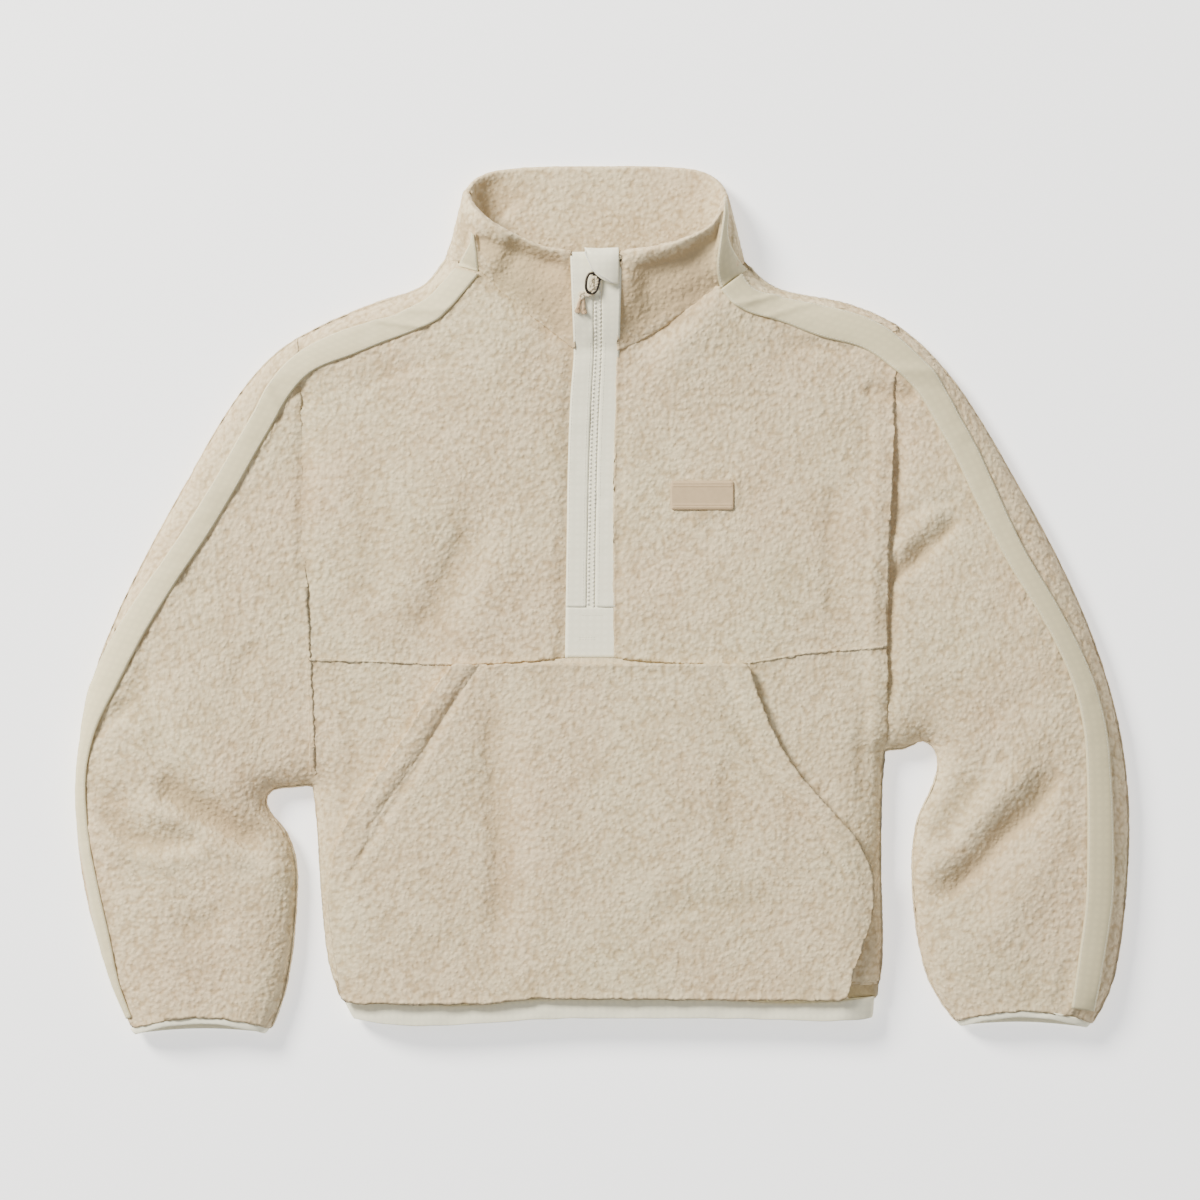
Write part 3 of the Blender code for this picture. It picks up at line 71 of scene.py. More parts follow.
# Creases in the cloth: depth (below 0 for a ridge) and width in mm, the height of
# the bank beside it as a share of the depth (on its left, or on its right below 0), and a line
# of x, y in mm
CREASES = {
    "front_left": [
        (2.0, 5, 0, [(-31, -115), (-28, -33), (-27, 49), (-24, 131), (-22, 209), (-19, 295)]),
        (4.6, 16, 0, [(-96, 274), (-77, 259), (-55, 244), (-32, 226), (-16, 213)]),
        (2.4, 13, 0.5, [(-102, 66), (-123, 25), (-151, -33)]),
        (1.4, 8, 0.4, [(-82, 266), (-59, 242), (-36, 209)]),
        (1.3, 5, 0, [(-246, 187), (-244, 131), (-244, 49), (-244, -41)]),
        (2.4, 6, 0, [(-257, 175), (-246, 171), (-236, 157)]),
        (1.0, 8, 0.5, [(-209, 164), (-164, 187), (-106, 203)]),
        (1.2, 12, 0.3, [(-205, 107), (-187, 49), (-191, -8)]),
    ],
    "front_right": [
        (1.0, 4, 0, [(17, 279), (17, 209), (16, 131), (15, 49), (14, -33), (14, -115)]),
        (4.6, 16, 0, [(10, 215), (33, 231), (59, 246), (82, 256), (100, 266)]),
        (1.6, 8, 0.4, [(82, 277), (59, 242), (33, 203)]),
        (1.3, 7, 0.4, [(148, 209), (177, 206), (214, 200)]),
        (1.3, 4, 0.3, [(82, 234), (68, 226), (50, 220)]),
        (-1.8, 8, 0, [
            (228, 180), (228, 115), (227, 49), (223, -16), (224, -74), (225, -121), (225, -164)
        ]),
        (2.2, 5, 0, [(237, 33), (237, -33), (236, -74), (235, -115), (236, -164)]),
        (1.4, 10, 0.4, [(196, 107), (187, 49), (194, -33)]),
        (2.4, 6, 0, [(215, 174), (234, 167), (251, 166)]),
    ],
    "front_lower": [
        (-1.8, 8, 0, [
            (228, 180), (228, 115), (227, 49), (223, -16), (224, -74), (225, -121), (225, -164)
        ]),
        (2.2, 5, 0, [(237, 33), (237, -33), (236, -74), (235, -115), (236, -164)]),
        (1.0, 7, 0.3, [(-209, -82), (-203, -131), (-214, -189)]),
        (1.1, 7, 0.3, [(220, -74), (212, -131), (219, -180)]),
    ],
    "pocket": [
        (2.6, 13, 0.5, [(-91, -74), (-88, -148), (-83, -230), (-88, -291)]),
        (1.2, 10, 0.4, [(33, -271), (82, -250), (140, -258)]),
        (1.2, 12, 0.4, [(111, -115), (103, -164), (115, -213)]),
        (1.1, 2.8, 0.2, [(-103, -52), (-127, -94), (-158, -149), (-184, -191), (-223, -253)]),
        (1.4, 2.8, 0.2, [
            (223, -248), (202, -228), (176, -184), (150, -156), (126, -127), (92, -75)
        ]),
        (-0.8, 5, 0, [(-113, -52), (-137, -89), (-169, -143), (-200, -185)]),
        (-0.8, 5, 0, [(109, -74), (140, -125), (169, -164), (199, -198)]),
    ],
    "sleeve_left_front": [
        (5.0, 10, -0.8, [(-369, -144), (-356, -157), (-332, -172), (-303, -189), (-272, -209)]),
        (3.2, 9, -0.5, [(-418, -164), (-400, -184), (-379, -198), (-344, -198), (-315, -193)]),
        (1.6, 7, 0.4, [(-423, -152), (-401, -164), (-385, -162)]),
        (1.8, 6, 0.3, [(-416, -112), (-401, -100), (-381, -82)]),
        (1.4, 9, 0.4, [(-369, -49), (-385, -82), (-400, -100)]),
        (1.0, 6, 0.4, [(-310, 82), (-328, 97), (-340, 107)]),
        (1.3, 9, 0.5, [(-369, 33), (-346, 20), (-323, -5)]),
        (1.3, 5, 0, [(-245, 176), (-245, 131), (-245, 66), (-245, 0)]),
        (2.4, 6, 0, [(-262, 176), (-249, 171), (-237, 161)]),
        (1.2, 9, 0.4, [(-305, -250), (-328, -266), (-352, -258)]),
        (1.1, 9, 0.4, [(-277, -33), (-295, -56), (-301, -86)]),
    ],
    "sleeve_right_front": [
        (3.6, 6, 0, [
            (239, 164), (241, 115), (239, 71), (237, 27), (234, -16), (234, -74), (235, -123)
        ]),
        (2.6, 6, 0, [(228, 171), (246, 166), (264, 169)]),
        (3.8, 7, 0.8, [(237, 11), (249, 24), (269, 40), (297, 69)]),
        (1.2, 5, 0.5, [(243, 65), (267, 75), (297, 85)]),
        (1.0, 7, 0.4, [(328, -90), (353, -78)]),
        (2.6, 12, 0.3, [(275, -209), (296, -176), (316, -144)]),
        (5.2, 10, 0.7, [
            (264, -248), (296, -233), (316, -212), (332, -192), (357, -171), (369, -152),
            (374, -129)
        ]),
        (1.4, 8, 0.4, [(378, -295), (382, -320), (369, -336)]),
        (1.0, 8, 0.4, [(316, 0), (337, -33), (357, -45)]),
        (1.2, 9, 0.4, [(271, -74), (300, -82), (328, -111)]),
    ],
    "sleeve_left_back": [
        (2.4, 7, 0.4, [(-369, -156), (-340, -164), (-307, -189), (-277, -197)]),
        (1.4, 8, 0.3, [(-401, -82), (-369, -74), (-328, -86)]),
        (1.2, 8, 0.3, [(-295, 98), (-315, 66), (-323, 25)]),
        (0.9, 7, 0.3, [(-385, -271), (-352, -279), (-315, -266)]),
    ],
    "sleeve_right_back": [
        (2.4, 7, 0.4, [(275, -230), (316, -205), (353, -197), (386, -164)]),
        (1.5, 8, 0.3, [(296, -74), (328, -82), (365, -66)]),
        (1.2, 8, 0.3, [(271, 107), (287, 66), (316, 33)]),
        (0.8, 7, 0.3, [(320, -295), (353, -287), (386, -299)]),
    ],
    "collar_back": [
        (3.0, 14, 0, [(-100, 343), (-90, 328), (-76, 312)]),
    ],
    "back": [
        (1.6, 9, 0.3, [(-221, -33), (-164, -82), (-139, -156)]),
        (1.3, 9, 0.3, [(214, -16), (164, -74), (156, -148)]),
        (1.2, 8, 0.3, [(-221, 148), (-205, 82), (-221, 16)]),
        (1.0, 8, 0.3, [(82, 164), (17, 148), (-65, 160)]),
    ],
    "collar_left": [
        (5.6, 20, 0.2, [(-8, 253), (-32, 266), (-57, 280), (-82, 290)]),
        (4.6, 16, 0, [(-96, 274), (-77, 259), (-55, 244), (-32, 226), (-16, 213)]),
        (5.2, 8, -0.5, [(-21, 268), (-40, 272), (-75, 286), (-98, 294), (-112, 309), (-118, 328)]),
        (-1.6, 4, 0, [(-23, 283), (-36, 287), (-70, 302), (-91, 308), (-101, 321), (-106, 336)]),
    ],
    "collar_right": [
        (4.8, 17, 0.2, [(96, 290), (74, 271), (50, 259), (25, 253)]),
        (4.6, 16, 0, [(10, 215), (33, 231), (59, 246), (82, 256), (100, 266)]),
        (5.4, 8, -0.5, [(111, 326), (99, 303), (79, 285), (50, 272), (20, 268)]),
        (-1.6, 4, 0, [(96, 331), (87, 313), (69, 296), (46, 287), (18, 283)]),
    ],
}

# Where a tape's outer edge lies: share of its length, and share of its node's width
TAPE_EDGES = {
    "tape_left": [
        (0.0, 1.0), (0.33, 1.0), (0.44, 0.8), (0.52, 0.66), (0.72, 0.64), (0.8, 0.7),
        (0.86, 0.76), (0.91, 0.62), (0.96, 0.72), (1.0, 0.72),
    ],
    "tape_right": [
        (0.0, 0.8), (0.06, 0.72), (0.11, 0.92), (0.17, 0.86), (0.22, 0.78), (0.28, 0.7),
        (0.39, 0.67), (0.46, 0.6), (0.55, 0.57), (0.63, 0.61), (0.7, 0.68), (0.77, 0.73),
        (0.85, 0.79), (0.93, 0.74), (1.0, 0.7),
    ],
}

# The tapes' ends on the collar in mm: x, y on the left and x, y on the right of each row
COLLAR_TAPES = {
    "tape_left_collar": [
        (-116.9, 273.9, -99.6, 269.0), (-112.8, 281.3, -100.5, 276.3),
        (-108.7, 288.2, -101.3, 283.7), (-106.2, 293.6, -102.5, 291.1),
        (-105.8, 300.1, -103.7, 298.5),
    ],
    "tape_right_collar": [
        (99.2, 254.2, 121.4, 271.5), (97.2, 261.6, 116.0, 277.2), (96.0, 269.0, 111.1, 283.7),
        (96.0, 277.2, 107.4, 290.3), (97.2, 287.0, 105.4, 296.8), (98.8, 297.7, 105.0, 305.0),
        (100.5, 308.3, 105.4, 314.9), (101.7, 318.2, 105.0, 323.9), (100.5, 328.0, 102.9, 331.3),
    ],
}

# Puckers across a tape: share of its length, height and width in mm, and slant in mm
PUCKERS = {
    "tape_left": [
        (0.738, 1.6, 7, 10), (0.765, -0.5, 5, 8), (0.905, 1.5, 5, -9), (0.94, 1.1, 5, -9),
    ],
    "tape_right": [
        (0.235, 1.5, 7, 9), (0.26, -0.5, 5, 9), (0.035, 1.5, 5, 9), (0.075, 1.0, 5, 9),
    ],
    "zip_placket_left": [(0.52, 0.4, 9, 2)],
}

# The chin guard's free edge in mm
GUARD_EDGE = [
    (-13.2, 285.0), (-12.6, 279.0), (-9.6, 271.4), (-4.6, 265.9), (4.0, 260.9), (12.0, 257.8),
]

# Rows of stitches on the placket's foot in mm: y, and the x where each starts and ends
FOOT_ROWS = [(-12.4, -15.5, 3.0), (-32.4, -18.0, -3.6), (-30.4, -18.0, -3.6)]
TOOTH_PITCH = 1.7 * MM  # between neighbours, which come from either side in turn
INNER_ROW_TOP = 0.212  # y in m, where the guard begins to cover the plackets' inner stitches

# The pull's cord in mm: x, y and height above the zip's tape
CORD_LOOP = [
    (-14.6, 249.0, 2.6), (-11.9, 248.6, 3.4), (-8.6, 248.3, 4.6), (-5.6, 250.6, 5.6),
    (-3.4, 255.2, 5.6), (-2.4, 259.6, 5.0), (-3.2, 262.2, 4.6), (-5.4, 262.6, 4.6),
    (-7.2, 260.8, 5.0), (-7.0, 257.6, 6.2), (-5.6, 255.4, 7.0), (-6.4, 253.2, 6.4),
    (-8.9, 252.6, 4.6), (-10.4, 250.6, 3.4), (-14.0, 248.4, 2.4),
]
CORD_TAILS = [
    [
        (-15.2, 247.2, 2.6), (-15.8, 245.4, 2.3), (-16.7, 243.0, 2.1), (-17.8, 239.0, 2.0),
        (-18.8, 234.0, 1.9),
    ],
    [
        (-13.9, 247.0, 2.6), (-13.6, 245.2, 2.3), (-13.2, 243.0, 2.1), (-13.4, 238.5, 2.0),
        (-12.9, 233.2, 1.9),
    ],
]
PULL_SPAN = 0.222, 0.275  # y in m, between which the tape under the pull is measured
KNOT_AT = (-14.6, 248.6, 2.6)
KNOT_SIZE = (5.4, 6.6, 4.2)

# The pull ring's line in mm, which leans a little to the left
RING = [
    (-5.3, 266.1), (-8.6, 265.6), (-10.2, 263.4), (-11.2, 259.4), (-11.4, 254.6), (-10.2, 251.2),
    (-7.4, 249.6), (-4.2, 250.6), (-2.2, 253.6), (-1.2, 258.4), (-0.6, 262.6), (-1.6, 265.4),
]
RING_HEIGHT = 49.9

# Flat cuts of the fleece by node: width and length in m, and the pieces that each lies on
CUTS = {
    "front_left": (0.245, 0.330, ["pile_back"]),
    "front_right": (0.245, 0.330, ["pile_back"]),
    "front_lower": (0.490, 0.300, ["pile_back"]),
    "back": (0.500, 0.640, []),
    "pocket": (0.440, 0.280, ["pile_front_lower"]),
    "sleeve_left_front": (0.200, 0.580, ["pile_sleeve_left_back"]),
    "sleeve_right_front": (0.200, 0.580, ["pile_sleeve_right_back"]),
    "sleeve_left_back": (0.200, 0.580, []),
    "sleeve_right_back": (0.200, 0.580, []),
    "collar_left": (0.100, 0.095, ["pile_front_left"]),
    "collar_right": (0.100, 0.105, ["pile_front_right"]),
    "collar_back": (0.270, 0.090, ["pile_back"]),
}


# ---------------------------------------------------------------- what a user may change


def linear(hex_colour):
    """An sRGB hex colour as linear red, green and blue."""
    parts = [int(hex_colour[i:i + 2], 16) / 255 for i in (1, 3, 5)]
    return tuple(c / 12.92 if c <= 0.04045 else ((c + 0.055) / 1.055) ** 2.4 for c in parts)


def length(name, description, default_mm):
    return FloatProperty(
        name=name, description=description, default=default_mm * MM, unit="LENGTH", precision=4
    )


def colour(name, description, hex_colour):
    return FloatVectorProperty(
        name=name, description=description, default=linear(hex_colour), subtype="COLOR",
        min=0, max=1,
    )


class PileSettings(bpy.types.PropertyGroup):
    """The fleece's curls."""

    curl: length("Curl width", "Width of one curl of the pile", 4.0)
    height: length("Curl height", "From the hollow between two curls to their tops", 0.5)
    cell: length("Mesh cell", "Longest edge of the mesh that carries the curls", 1.9)


class SewingSettings(bpy.types.PropertyGroup):
    """The sewing."""

    pitch: length("Stitch pitch", "From one stitch to the next", 2.6)
    thread: length("Thread", "Thickness of the sewing thread", 0.4)
    inset: length("Tape inset", "From a tape's edge to its row of stitches", 1.7)


class ColourSettings(bpy.types.PropertyGroup):
    """The dyed and plated colours."""

    pile_tip: colour("Pile tips", "The fleece where the light falls on it", "#E1D0AC")
    # Painted shade: the colour the pile is darkened to between curls, in creases and near seams.
    pile_shade: colour("Pile roots", "The fleece down between its curls", "#C2AC87")
    shoulder_tape: colour("Shoulder tape", "The wide tapes down the sleeves", "#D9CDA4")
    white_tape: colour("White tape", "The zip's tapes, the hem band and the cuffs", "#FBF6DA")
    teeth: colour("Teeth", "The zip's moulded teeth", "#F0EAD8")
    metal: colour("Metal", "The slider and the pull ring", "#4A443E")
    cord: colour("Cord", "The twisted cord on the pull", "#DCCDAE")
    label: colour("Label", "The label's leather", "#C6AB84")


class StageSettings(bpy.types.PropertyGroup):
    """The camera and the lights."""

    view: length("View width", "Width of the picture at the garment's height", 984.0)
    camera_height: length("Camera height", "Above the table", 4000.0)


PANEL_GROUPS = {
    "pullover_pile": PileSettings,
    "pullover_sewing": SewingSettings,
    "pullover_colours": ColourSettings,
    "pullover_stage": StageSettings,
}


# ---------------------------------------------------------------- materials


def add(tree, kind, inputs, stops=(), to=None, **settings):
    """Adds one node with its settings and links.

    An input is given a value, or the socket that feeds it. stops are a ramp's two positions and
    colours, and the node's first output feeds the socket `to`.
    """
    node = tree.nodes.new(kind)
    for name, value in settings.items():
        setattr(node, name, value)
    for name, value in inputs.items():
        if isinstance(value, bpy.types.NodeSocket):
            tree.links.new(value, node.inputs[name])
        else:
            node.inputs[name].default_value = value
    for index, (position, three) in enumerate(stops):
        node.color_ramp.elements[index].position = position
        node.color_ramp.elements[index].color = rgba(three)
    if to:
        tree.links.new(node.outputs[0], to)
    return node


def rgba(three):
    return (*three, 1.0)


def shader_of(name, **inputs):
    """A new material, with its node tree and its Principled shader."""
    surface = bpy.data.materials.new(name)
    surface.use_nodes = True
    tree = surface.node_tree
    shader = tree.nodes["Principled BSDF"]
    for socket, value in inputs.items():
        shader.inputs[socket.replace("_", " ")].default_value = value
    return surface, tree, shader


def weighted(tree, *parts):
    """The sum of some sockets, each times its weight."""
    total = 0.0
    for socket, weight in parts:
        values = {0: socket, 1: weight, 2: total}
        total = add(tree, "ShaderNodeMath", values, operation="MULTIPLY_ADD").outputs[0]
    return total


def dyed(tree, shader, factor, base, share, span):
    """Lets the base colour rise from a darker share of itself as the factor crosses its span."""
    stops = [(span[0], [c * share for c in base]), (span[1], base)]
    add(tree, "ShaderNodeValToRGB", {"Fac": factor}, stops, shader.inputs["Base Color"])


def knitted_sherpa():
    """Sherpa: polyester knit whose pile is brushed and tumbled into curls.

    The eye gets a matt cream with a soft glow where it turns away; painted shade darkens it to a
    warmer tone in its hollows.
    """
    colours = bpy.context.scene.pullover_colours
    surface, tree, shader = shader_of(
        "Brushed sherpa", Roughness=0.95, Sheen_Weight=0.25, Sheen_Roughness=0.45,
        Sheen_Tint=rgba(linear("#FFF3E2")), Specular_IOR_Level=0.2,
    )
    place = add(tree, "ShaderNodeTexCoord", {}).outputs["Object"]
    # The curl attribute carries painted shade from the mesh: darker between curls, in creases and
    # near seams.
    depth = add(tree, "ShaderNodeAttribute", {}, attribute_name="curl").outputs["Fac"]
    # Fibres are 0.02 mm thick, too fine to show, so they are drawn as tufts 1.5 mm across.
    grain = {"Vector": place, "Scale": 1 / (1.5 * MM), "Detail": 3.0}
    tufts = add(tree, "ShaderNodeTexNoise", grain).outputs["Fac"]
    # Curls stand 3.3 mm apart; the mesh carries the larger ones and the bump the rest, and painted
    # shade darkens the colour between them.
    cells = {"Vector": place, "Scale": 1 / (3.3 * MM)}
    crumb = add(tree, "ShaderNodeTexVoronoi", cells, feature="SMOOTH_F1").outputs["Distance"]
    light = weighted(tree, (crumb, -0.35), (depth, 0.8), (tufts, 0.3))
    # Painted shade: the colour runs from the shaded pile colour in the hollows to the tip colour on
    # the tops.
    stops = [(0.02, colours.pile_shade), (0.7, colours.pile_tip)]
    shaded_pile = add(tree, "ShaderNodeValToRGB", {"Fac": light}, stops).outputs["Color"]
    # Whole patches, some 90 mm across, are a little warmer or cooler.
    uneven = {"Vector": place, "Scale": 1 / (90 * MM), "Detail": 3.0}
    patches = add(tree, "ShaderNodeTexNoise", uneven).outputs["Fac"]
    stops = [(0.3, linear("#FFF9F5")), (0.7, linear("#FCFEFA"))]
    tint = add(tree, "ShaderNodeValToRGB", {"Fac": patches}, stops).outputs["Color"]
    tinted = add(
        tree, "ShaderNodeMix", {0: 1.0, 6: shaded_pile, 7: tint}, data_type="RGBA", blend_type="MULTIPLY"
    )
    tree.links.new(tinted.outputs[2], shader.inputs["Base Color"])
    rough = weighted(tree, (tufts, 0.5), (crumb, -1.6))
    bump = {"Height": rough, "Distance": 0.85 * MM, "Strength": 0.75}
    add(tree, "ShaderNodeBump", bump, to=shader.inputs["Normal"])
    return surface


def woven_tape(name, base, thread_mm, gloss):
    """Polyester tape woven flat on a narrow loom, and heat set.

    The eye gets an even, slightly silky surface with fine ribs across the strip.
    """
    surface, tree, shader = shader_of(
        name, Roughness=gloss, Sheen_Weight=0.12, Sheen_Roughness=0.3, Specular_IOR_Level=0.3
    )
    place = add(tree, "ShaderNodeUVMap", {}, uv_map="strip").outputs["UV"]
    # Single threads are too fine to show, so one rib is drawn for every 6.6 of them.
    rib = 6.6 * thread_mm * MM
    waves = {"Vector": place, "Scale": pi / 10 / rib}
    across, along = (
        add(tree, "ShaderNodeTexWave", waves, bands_direction=way).outputs["Fac"] for way in "YX"
    )
    crossed = {0: across, 1: along}
    weave = add(tree, "ShaderNodeMath", crossed, operation="MULTIPLY").outputs[0]
    uneven = {"Vector": place, "Scale": 1 / (20 * MM), "Detail": 3.0}
    cloudy = add(tree, "ShaderNodeTexNoise", uneven).outputs["Fac"]
    dyed(tree, shader, weighted(tree, (weave, 1.0), (cloudy, 0.5)), base, 0.93, (0.1, 0.9))
    bump = {"Height": weave, "Distance": 0.12 * MM, "Strength": 0.4}
    add(tree, "ShaderNodeBump", bump, to=shader.inputs["Normal"])
    return surface


def plain_fibre(name, base, grain_mm):
    """Spun thread or brushed yarn, whose fibres make it matt and slightly uneven."""
    surface, tree, shader = shader_of(name, Roughness=0.85, Sheen_Weight=0.2)
    place = add(tree, "ShaderNodeTexCoord", {}).outputs["Object"]
    grain = {"Vector": place, "Scale": 1 / (grain_mm * MM), "Detail": 2.0}
    fibres = add(tree, "ShaderNodeTexNoise", grain).outputs["Fac"]
    dyed(tree, shader, fibres, base, 0.8, (0.3, 0.7))
    bump = {"Height": fibres, "Distance": 0.15 * MM, "Strength": 0.5}
    add(tree, "ShaderNodeBump", bump, to=shader.inputs["Normal"])
    return surface


def moulded_acetal(name, base):
    """Acetal, injection moulded on to the tape: smooth, with a low even shine."""
    surface, tree, shader = shader_of(name, Roughness=0.38, IOR=1.48)
    place = add(tree, "ShaderNodeTexCoord", {}).outputs["Object"]
    uneven = add(tree, "ShaderNodeTexNoise", {"Vector": place, "Scale": 1 / (4 * MM)})
    dyed(tree, shader, uneven.outputs["Fac"], base, 0.92, (0.3, 0.7))
    return surface


def plated_zinc(name, base):
    """Zinc, die cast and plated dark: bright along its edges, with faint tumbling marks."""
    surface, tree, shader = shader_of(name, Metallic=1.0)
    place = add(tree, "ShaderNodeTexCoord", {}).outputs["Object"]
    scratches = {"Vector": place, "Scale": 1 / (1.2 * MM), "Detail": 4.0}
    marks = add(tree, "ShaderNodeTexNoise", scratches).outputs["Fac"]
    stops = [(0.3, [0.28] * 3), (0.7, [0.42] * 3)]
    add(tree, "ShaderNodeValToRGB", {"Fac": marks}, stops, shader.inputs["Roughness"])
    dyed(tree, shader, marks, base, 0.75, (0.35, 0.65))
    return surface


def coated_leather(name, base):
    """Coated microfibre, hot pressed: a fine pebble grain with a low sheen."""
    surface, tree, shader = shader_of(name, Roughness=0.55)
    place = add(tree, "ShaderNodeTexCoord", {}).outputs["Object"]
    # The grain is 0.3 mm, drawn 0.8 mm across so that it shows.
    grain = add(tree, "ShaderNodeTexVoronoi", {"Vector": place, "Scale": 1 / (0.8 * MM)})
    uneven = {"Vector": place, "Scale": 1 / (6 * MM), "Detail": 3.0}
    cloudy = add(tree, "ShaderNodeTexNoise", uneven).outputs["Fac"]
    dyed(tree, shader, cloudy, base, 0.9, (0.3, 0.7))
    bump = {"Height": grain.outputs["Distance"], "Distance": 0.1 * MM, "Strength": 0.5}
    add(tree, "ShaderNodeBump", bump, to=shader.inputs["Normal"])
    return surface


MATERIALS = {}


def material(kind):
    """The finished material of that kind, made the first time it is asked for."""
    colours = bpy.context.scene.pullover_colours
    makers = {
        "sherpa": knitted_sherpa,
        "shoulder_tape": lambda: woven_tape("Woven tape", tuple(colours.shoulder_tape), 1.0, 0.62),
        "white_tape": lambda: woven_tape("White twill tape", tuple(colours.white_tape), 0.9, 0.7),
        "thread": lambda: plain_fibre("Spun thread", linear("#F2EDDD"), 0.5),
        "cord": lambda: plain_fibre("Twisted cotton", tuple(colours.cord), 0.6),
        "tail": lambda: plain_fibre("Brushed cotton ends", linear("#CDB08A"), 0.5),
        "teeth": lambda: moulded_acetal("Moulded acetal", tuple(colours.teeth)),
        "metal": lambda: plated_zinc("Plated zinc", tuple(colours.metal)),
        "label": lambda: coated_leather("Pressed microfibre", tuple(colours.label)),
    }
    if kind not in MATERIALS:
        MATERIALS[kind] = makers[kind]()
    return MATERIALS[kind]


# ---------------------------------------------------------------- meshes


def cad(node):
    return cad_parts[node]


def deselect():
    for each in bpy.context.selected_objects:
        each.select_set(False)


def new_piece(name, mesh, kind):
    """A new object for a mesh, with its material, at the origin."""
    piece = bpy.data.objects.new(name, mesh)
    bpy.context.collection.objects.link(piece)
    mesh.materials.clear()
    mesh.materials.append(material(kind))
    return piece


def finish(piece, body, nodes=()):
    """A finished piece rides on its body and stands for its CAD nodes."""
    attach(piece, body)
    if nodes:
        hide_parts(*nodes)


def quads_of(node):
    """A CAD node's shell with its doubles merged and its triangles paired to quads again."""
    form = bmesh.new()
    form.from_mesh(cad(node).data)
    bmesh.ops.remove_doubles(form, verts=form.verts[:], dist=WELD)
    bmesh.ops.join_triangles(
        form, faces=form.faces[:], angle_face_threshold=radians(50), angle_shape_threshold=pi
    )
    form.normal_update()
    return form


def skins(form):
    """The shell's faces in groups that meet flatter than SHARP, largest first."""
    left, groups = set(form.faces), []
    while left:
        seed = left.pop()
        group, front = [seed], [seed]
        while front:
            face = front.pop()
            for side in face.edges:
                for other in side.link_faces:
                    if other in left and side.calc_face_angle(pi) < SHARP:
                        left.discard(other)
                        group.append(other)
                        front.append(other)
        groups.append(group)
    return sorted(groups, key=lambda g: -area_of(g))


def area_of(faces):
    return sum(f.calc_area() for f in faces)


def facing(group):
    return sum((f.normal * f.calc_area() for f in group), Vector()).z


def outer_skin(form, up):
    """The largest group of faces that looks up, or down for a panel underneath."""
    return next(g for g in skins(form) if facing(g) * up > 0)


def skin_tree(form, skin):
    """A search tree over some of a form's faces."""
    return BVHTree.FromPolygons(
        [v.co for v in form.verts], [[v.index for v in f.verts] for f in skin]
    )


def closed(mesh):
    """Turns a closed mesh's faces outwards and shades it smooth."""
    form = bmesh.new()
    form.from_mesh(mesh)
    bmesh.ops.recalc_face_normals(form, faces=form.faces[:])
    form.to_mesh(mesh)
    form.free()
    mesh.shade_smooth()
    return mesh


def corners_of(mesh):
    points = np.empty(len(mesh.vertices) * 3)
    mesh.vertices.foreach_get("co", points)
    return points.reshape(-1, 3)


def unit(vectors):
    return vectors / np.maximum(np.linalg.norm(vectors, axis=-1), 1e-12)[..., None]


def rising(values, start, end):
    """0 up to the start, 1 from the end on, and a smooth rise between them."""
    share = np.clip((values - start) / (end - start), 0, 1)
    return share * share * (3 - 2 * share)


def bell(away, width):
    """1 where away is 0, about a third at the width, and soon nothing beyond it."""
    return np.exp(-((away / width) ** 2))


# ---------------------------------------------------------------- the pile


def scattered(corners, salt):
    """A repeatable number from 0 to 1 for each corner of a lattice."""
    mixed = np.sin(corners @ np.array([127.1, 311.7, 74.7]) + salt) * 43758.5453
    return mixed - np.floor(mixed)


def swell(points, size, salt):
    """Smooth rise and fall from -1 to 1, about `size` metres from one rise to the next.

    It adds up waves that run in different ways, each a golden angle on from the last.
    """
    waves, golden_angle, highest = 5, 2.4, 3.2
    total = np.zeros(len(points))
    for turn in range(waves):
        angle = salt + turn * golden_angle
        way = np.array([cos(angle), sin(angle), 0.7 * sin(3 * angle)]) * (0.7 + 0.18 * turn)
        total += np.sin(points @ way * (2 * pi / size) + 7.3 * turn + salt)
    return total / highest


def curls(points, width, salt):
    """Height, 0 to 1, of round curls of pile that crowd against each other.

    One curl's heart lies in each cell of a lattice, which is warped a little.
    """
    warp = np.stack([swell(points, 4.3 * width, salt + k) for k in (1.0, 2.0, 3.0)], axis=1)
    place = points / width + 0.2 * warp
    base = np.floor(place)
    nearest = np.full(len(place), np.inf)
    for step in itertools.product((-1, 0, 1), repeat=3):
        corner = base + step
        heart = corner + np.stack([scattered(corner, salt + k) for k in (0.0, 11.0, 23.0)], axis=1)
        nearest = np.minimum(nearest, np.sum((place - heart) ** 2, axis=1))
    return np.clip(1 - nearest / 0.95, 0, 1)


def pile_height(points):
    """The pile's height, 0 to 1, in curls of two sizes that thin out in patches."""
    pile = bpy.context.scene.pullover_pile
    large = curls(points, pile.curl, 5.0)
    small = curls(points, pile.curl * 0.5, 40.0)
    patch = 0.9 + 0.1 * swell(points, 0.055, 2.0)
    height = (0.72 * large + 0.28 * small) * patch
    low, high = np.percentile(height, (4, 97))
    return np.clip((height - low) / (high - low), 0, 1)


def refine(form, longest, lowest=-2.0):
    """Splits the skin's edges until none is longer than `longest`, on faces that look up enough."""
    for _ in range(5):
        form.normal_update()
        faces = [f for f in form.faces if f.material_index == SHOWN and f.normal.z > lowest]
        edges = {e for f in faces for e in f.edges if e.calc_length() > longest}
        if not edges:
            return
        bmesh.ops.subdivide_edges(form, edges=list(edges), cuts=1, use_grid_fill=True)


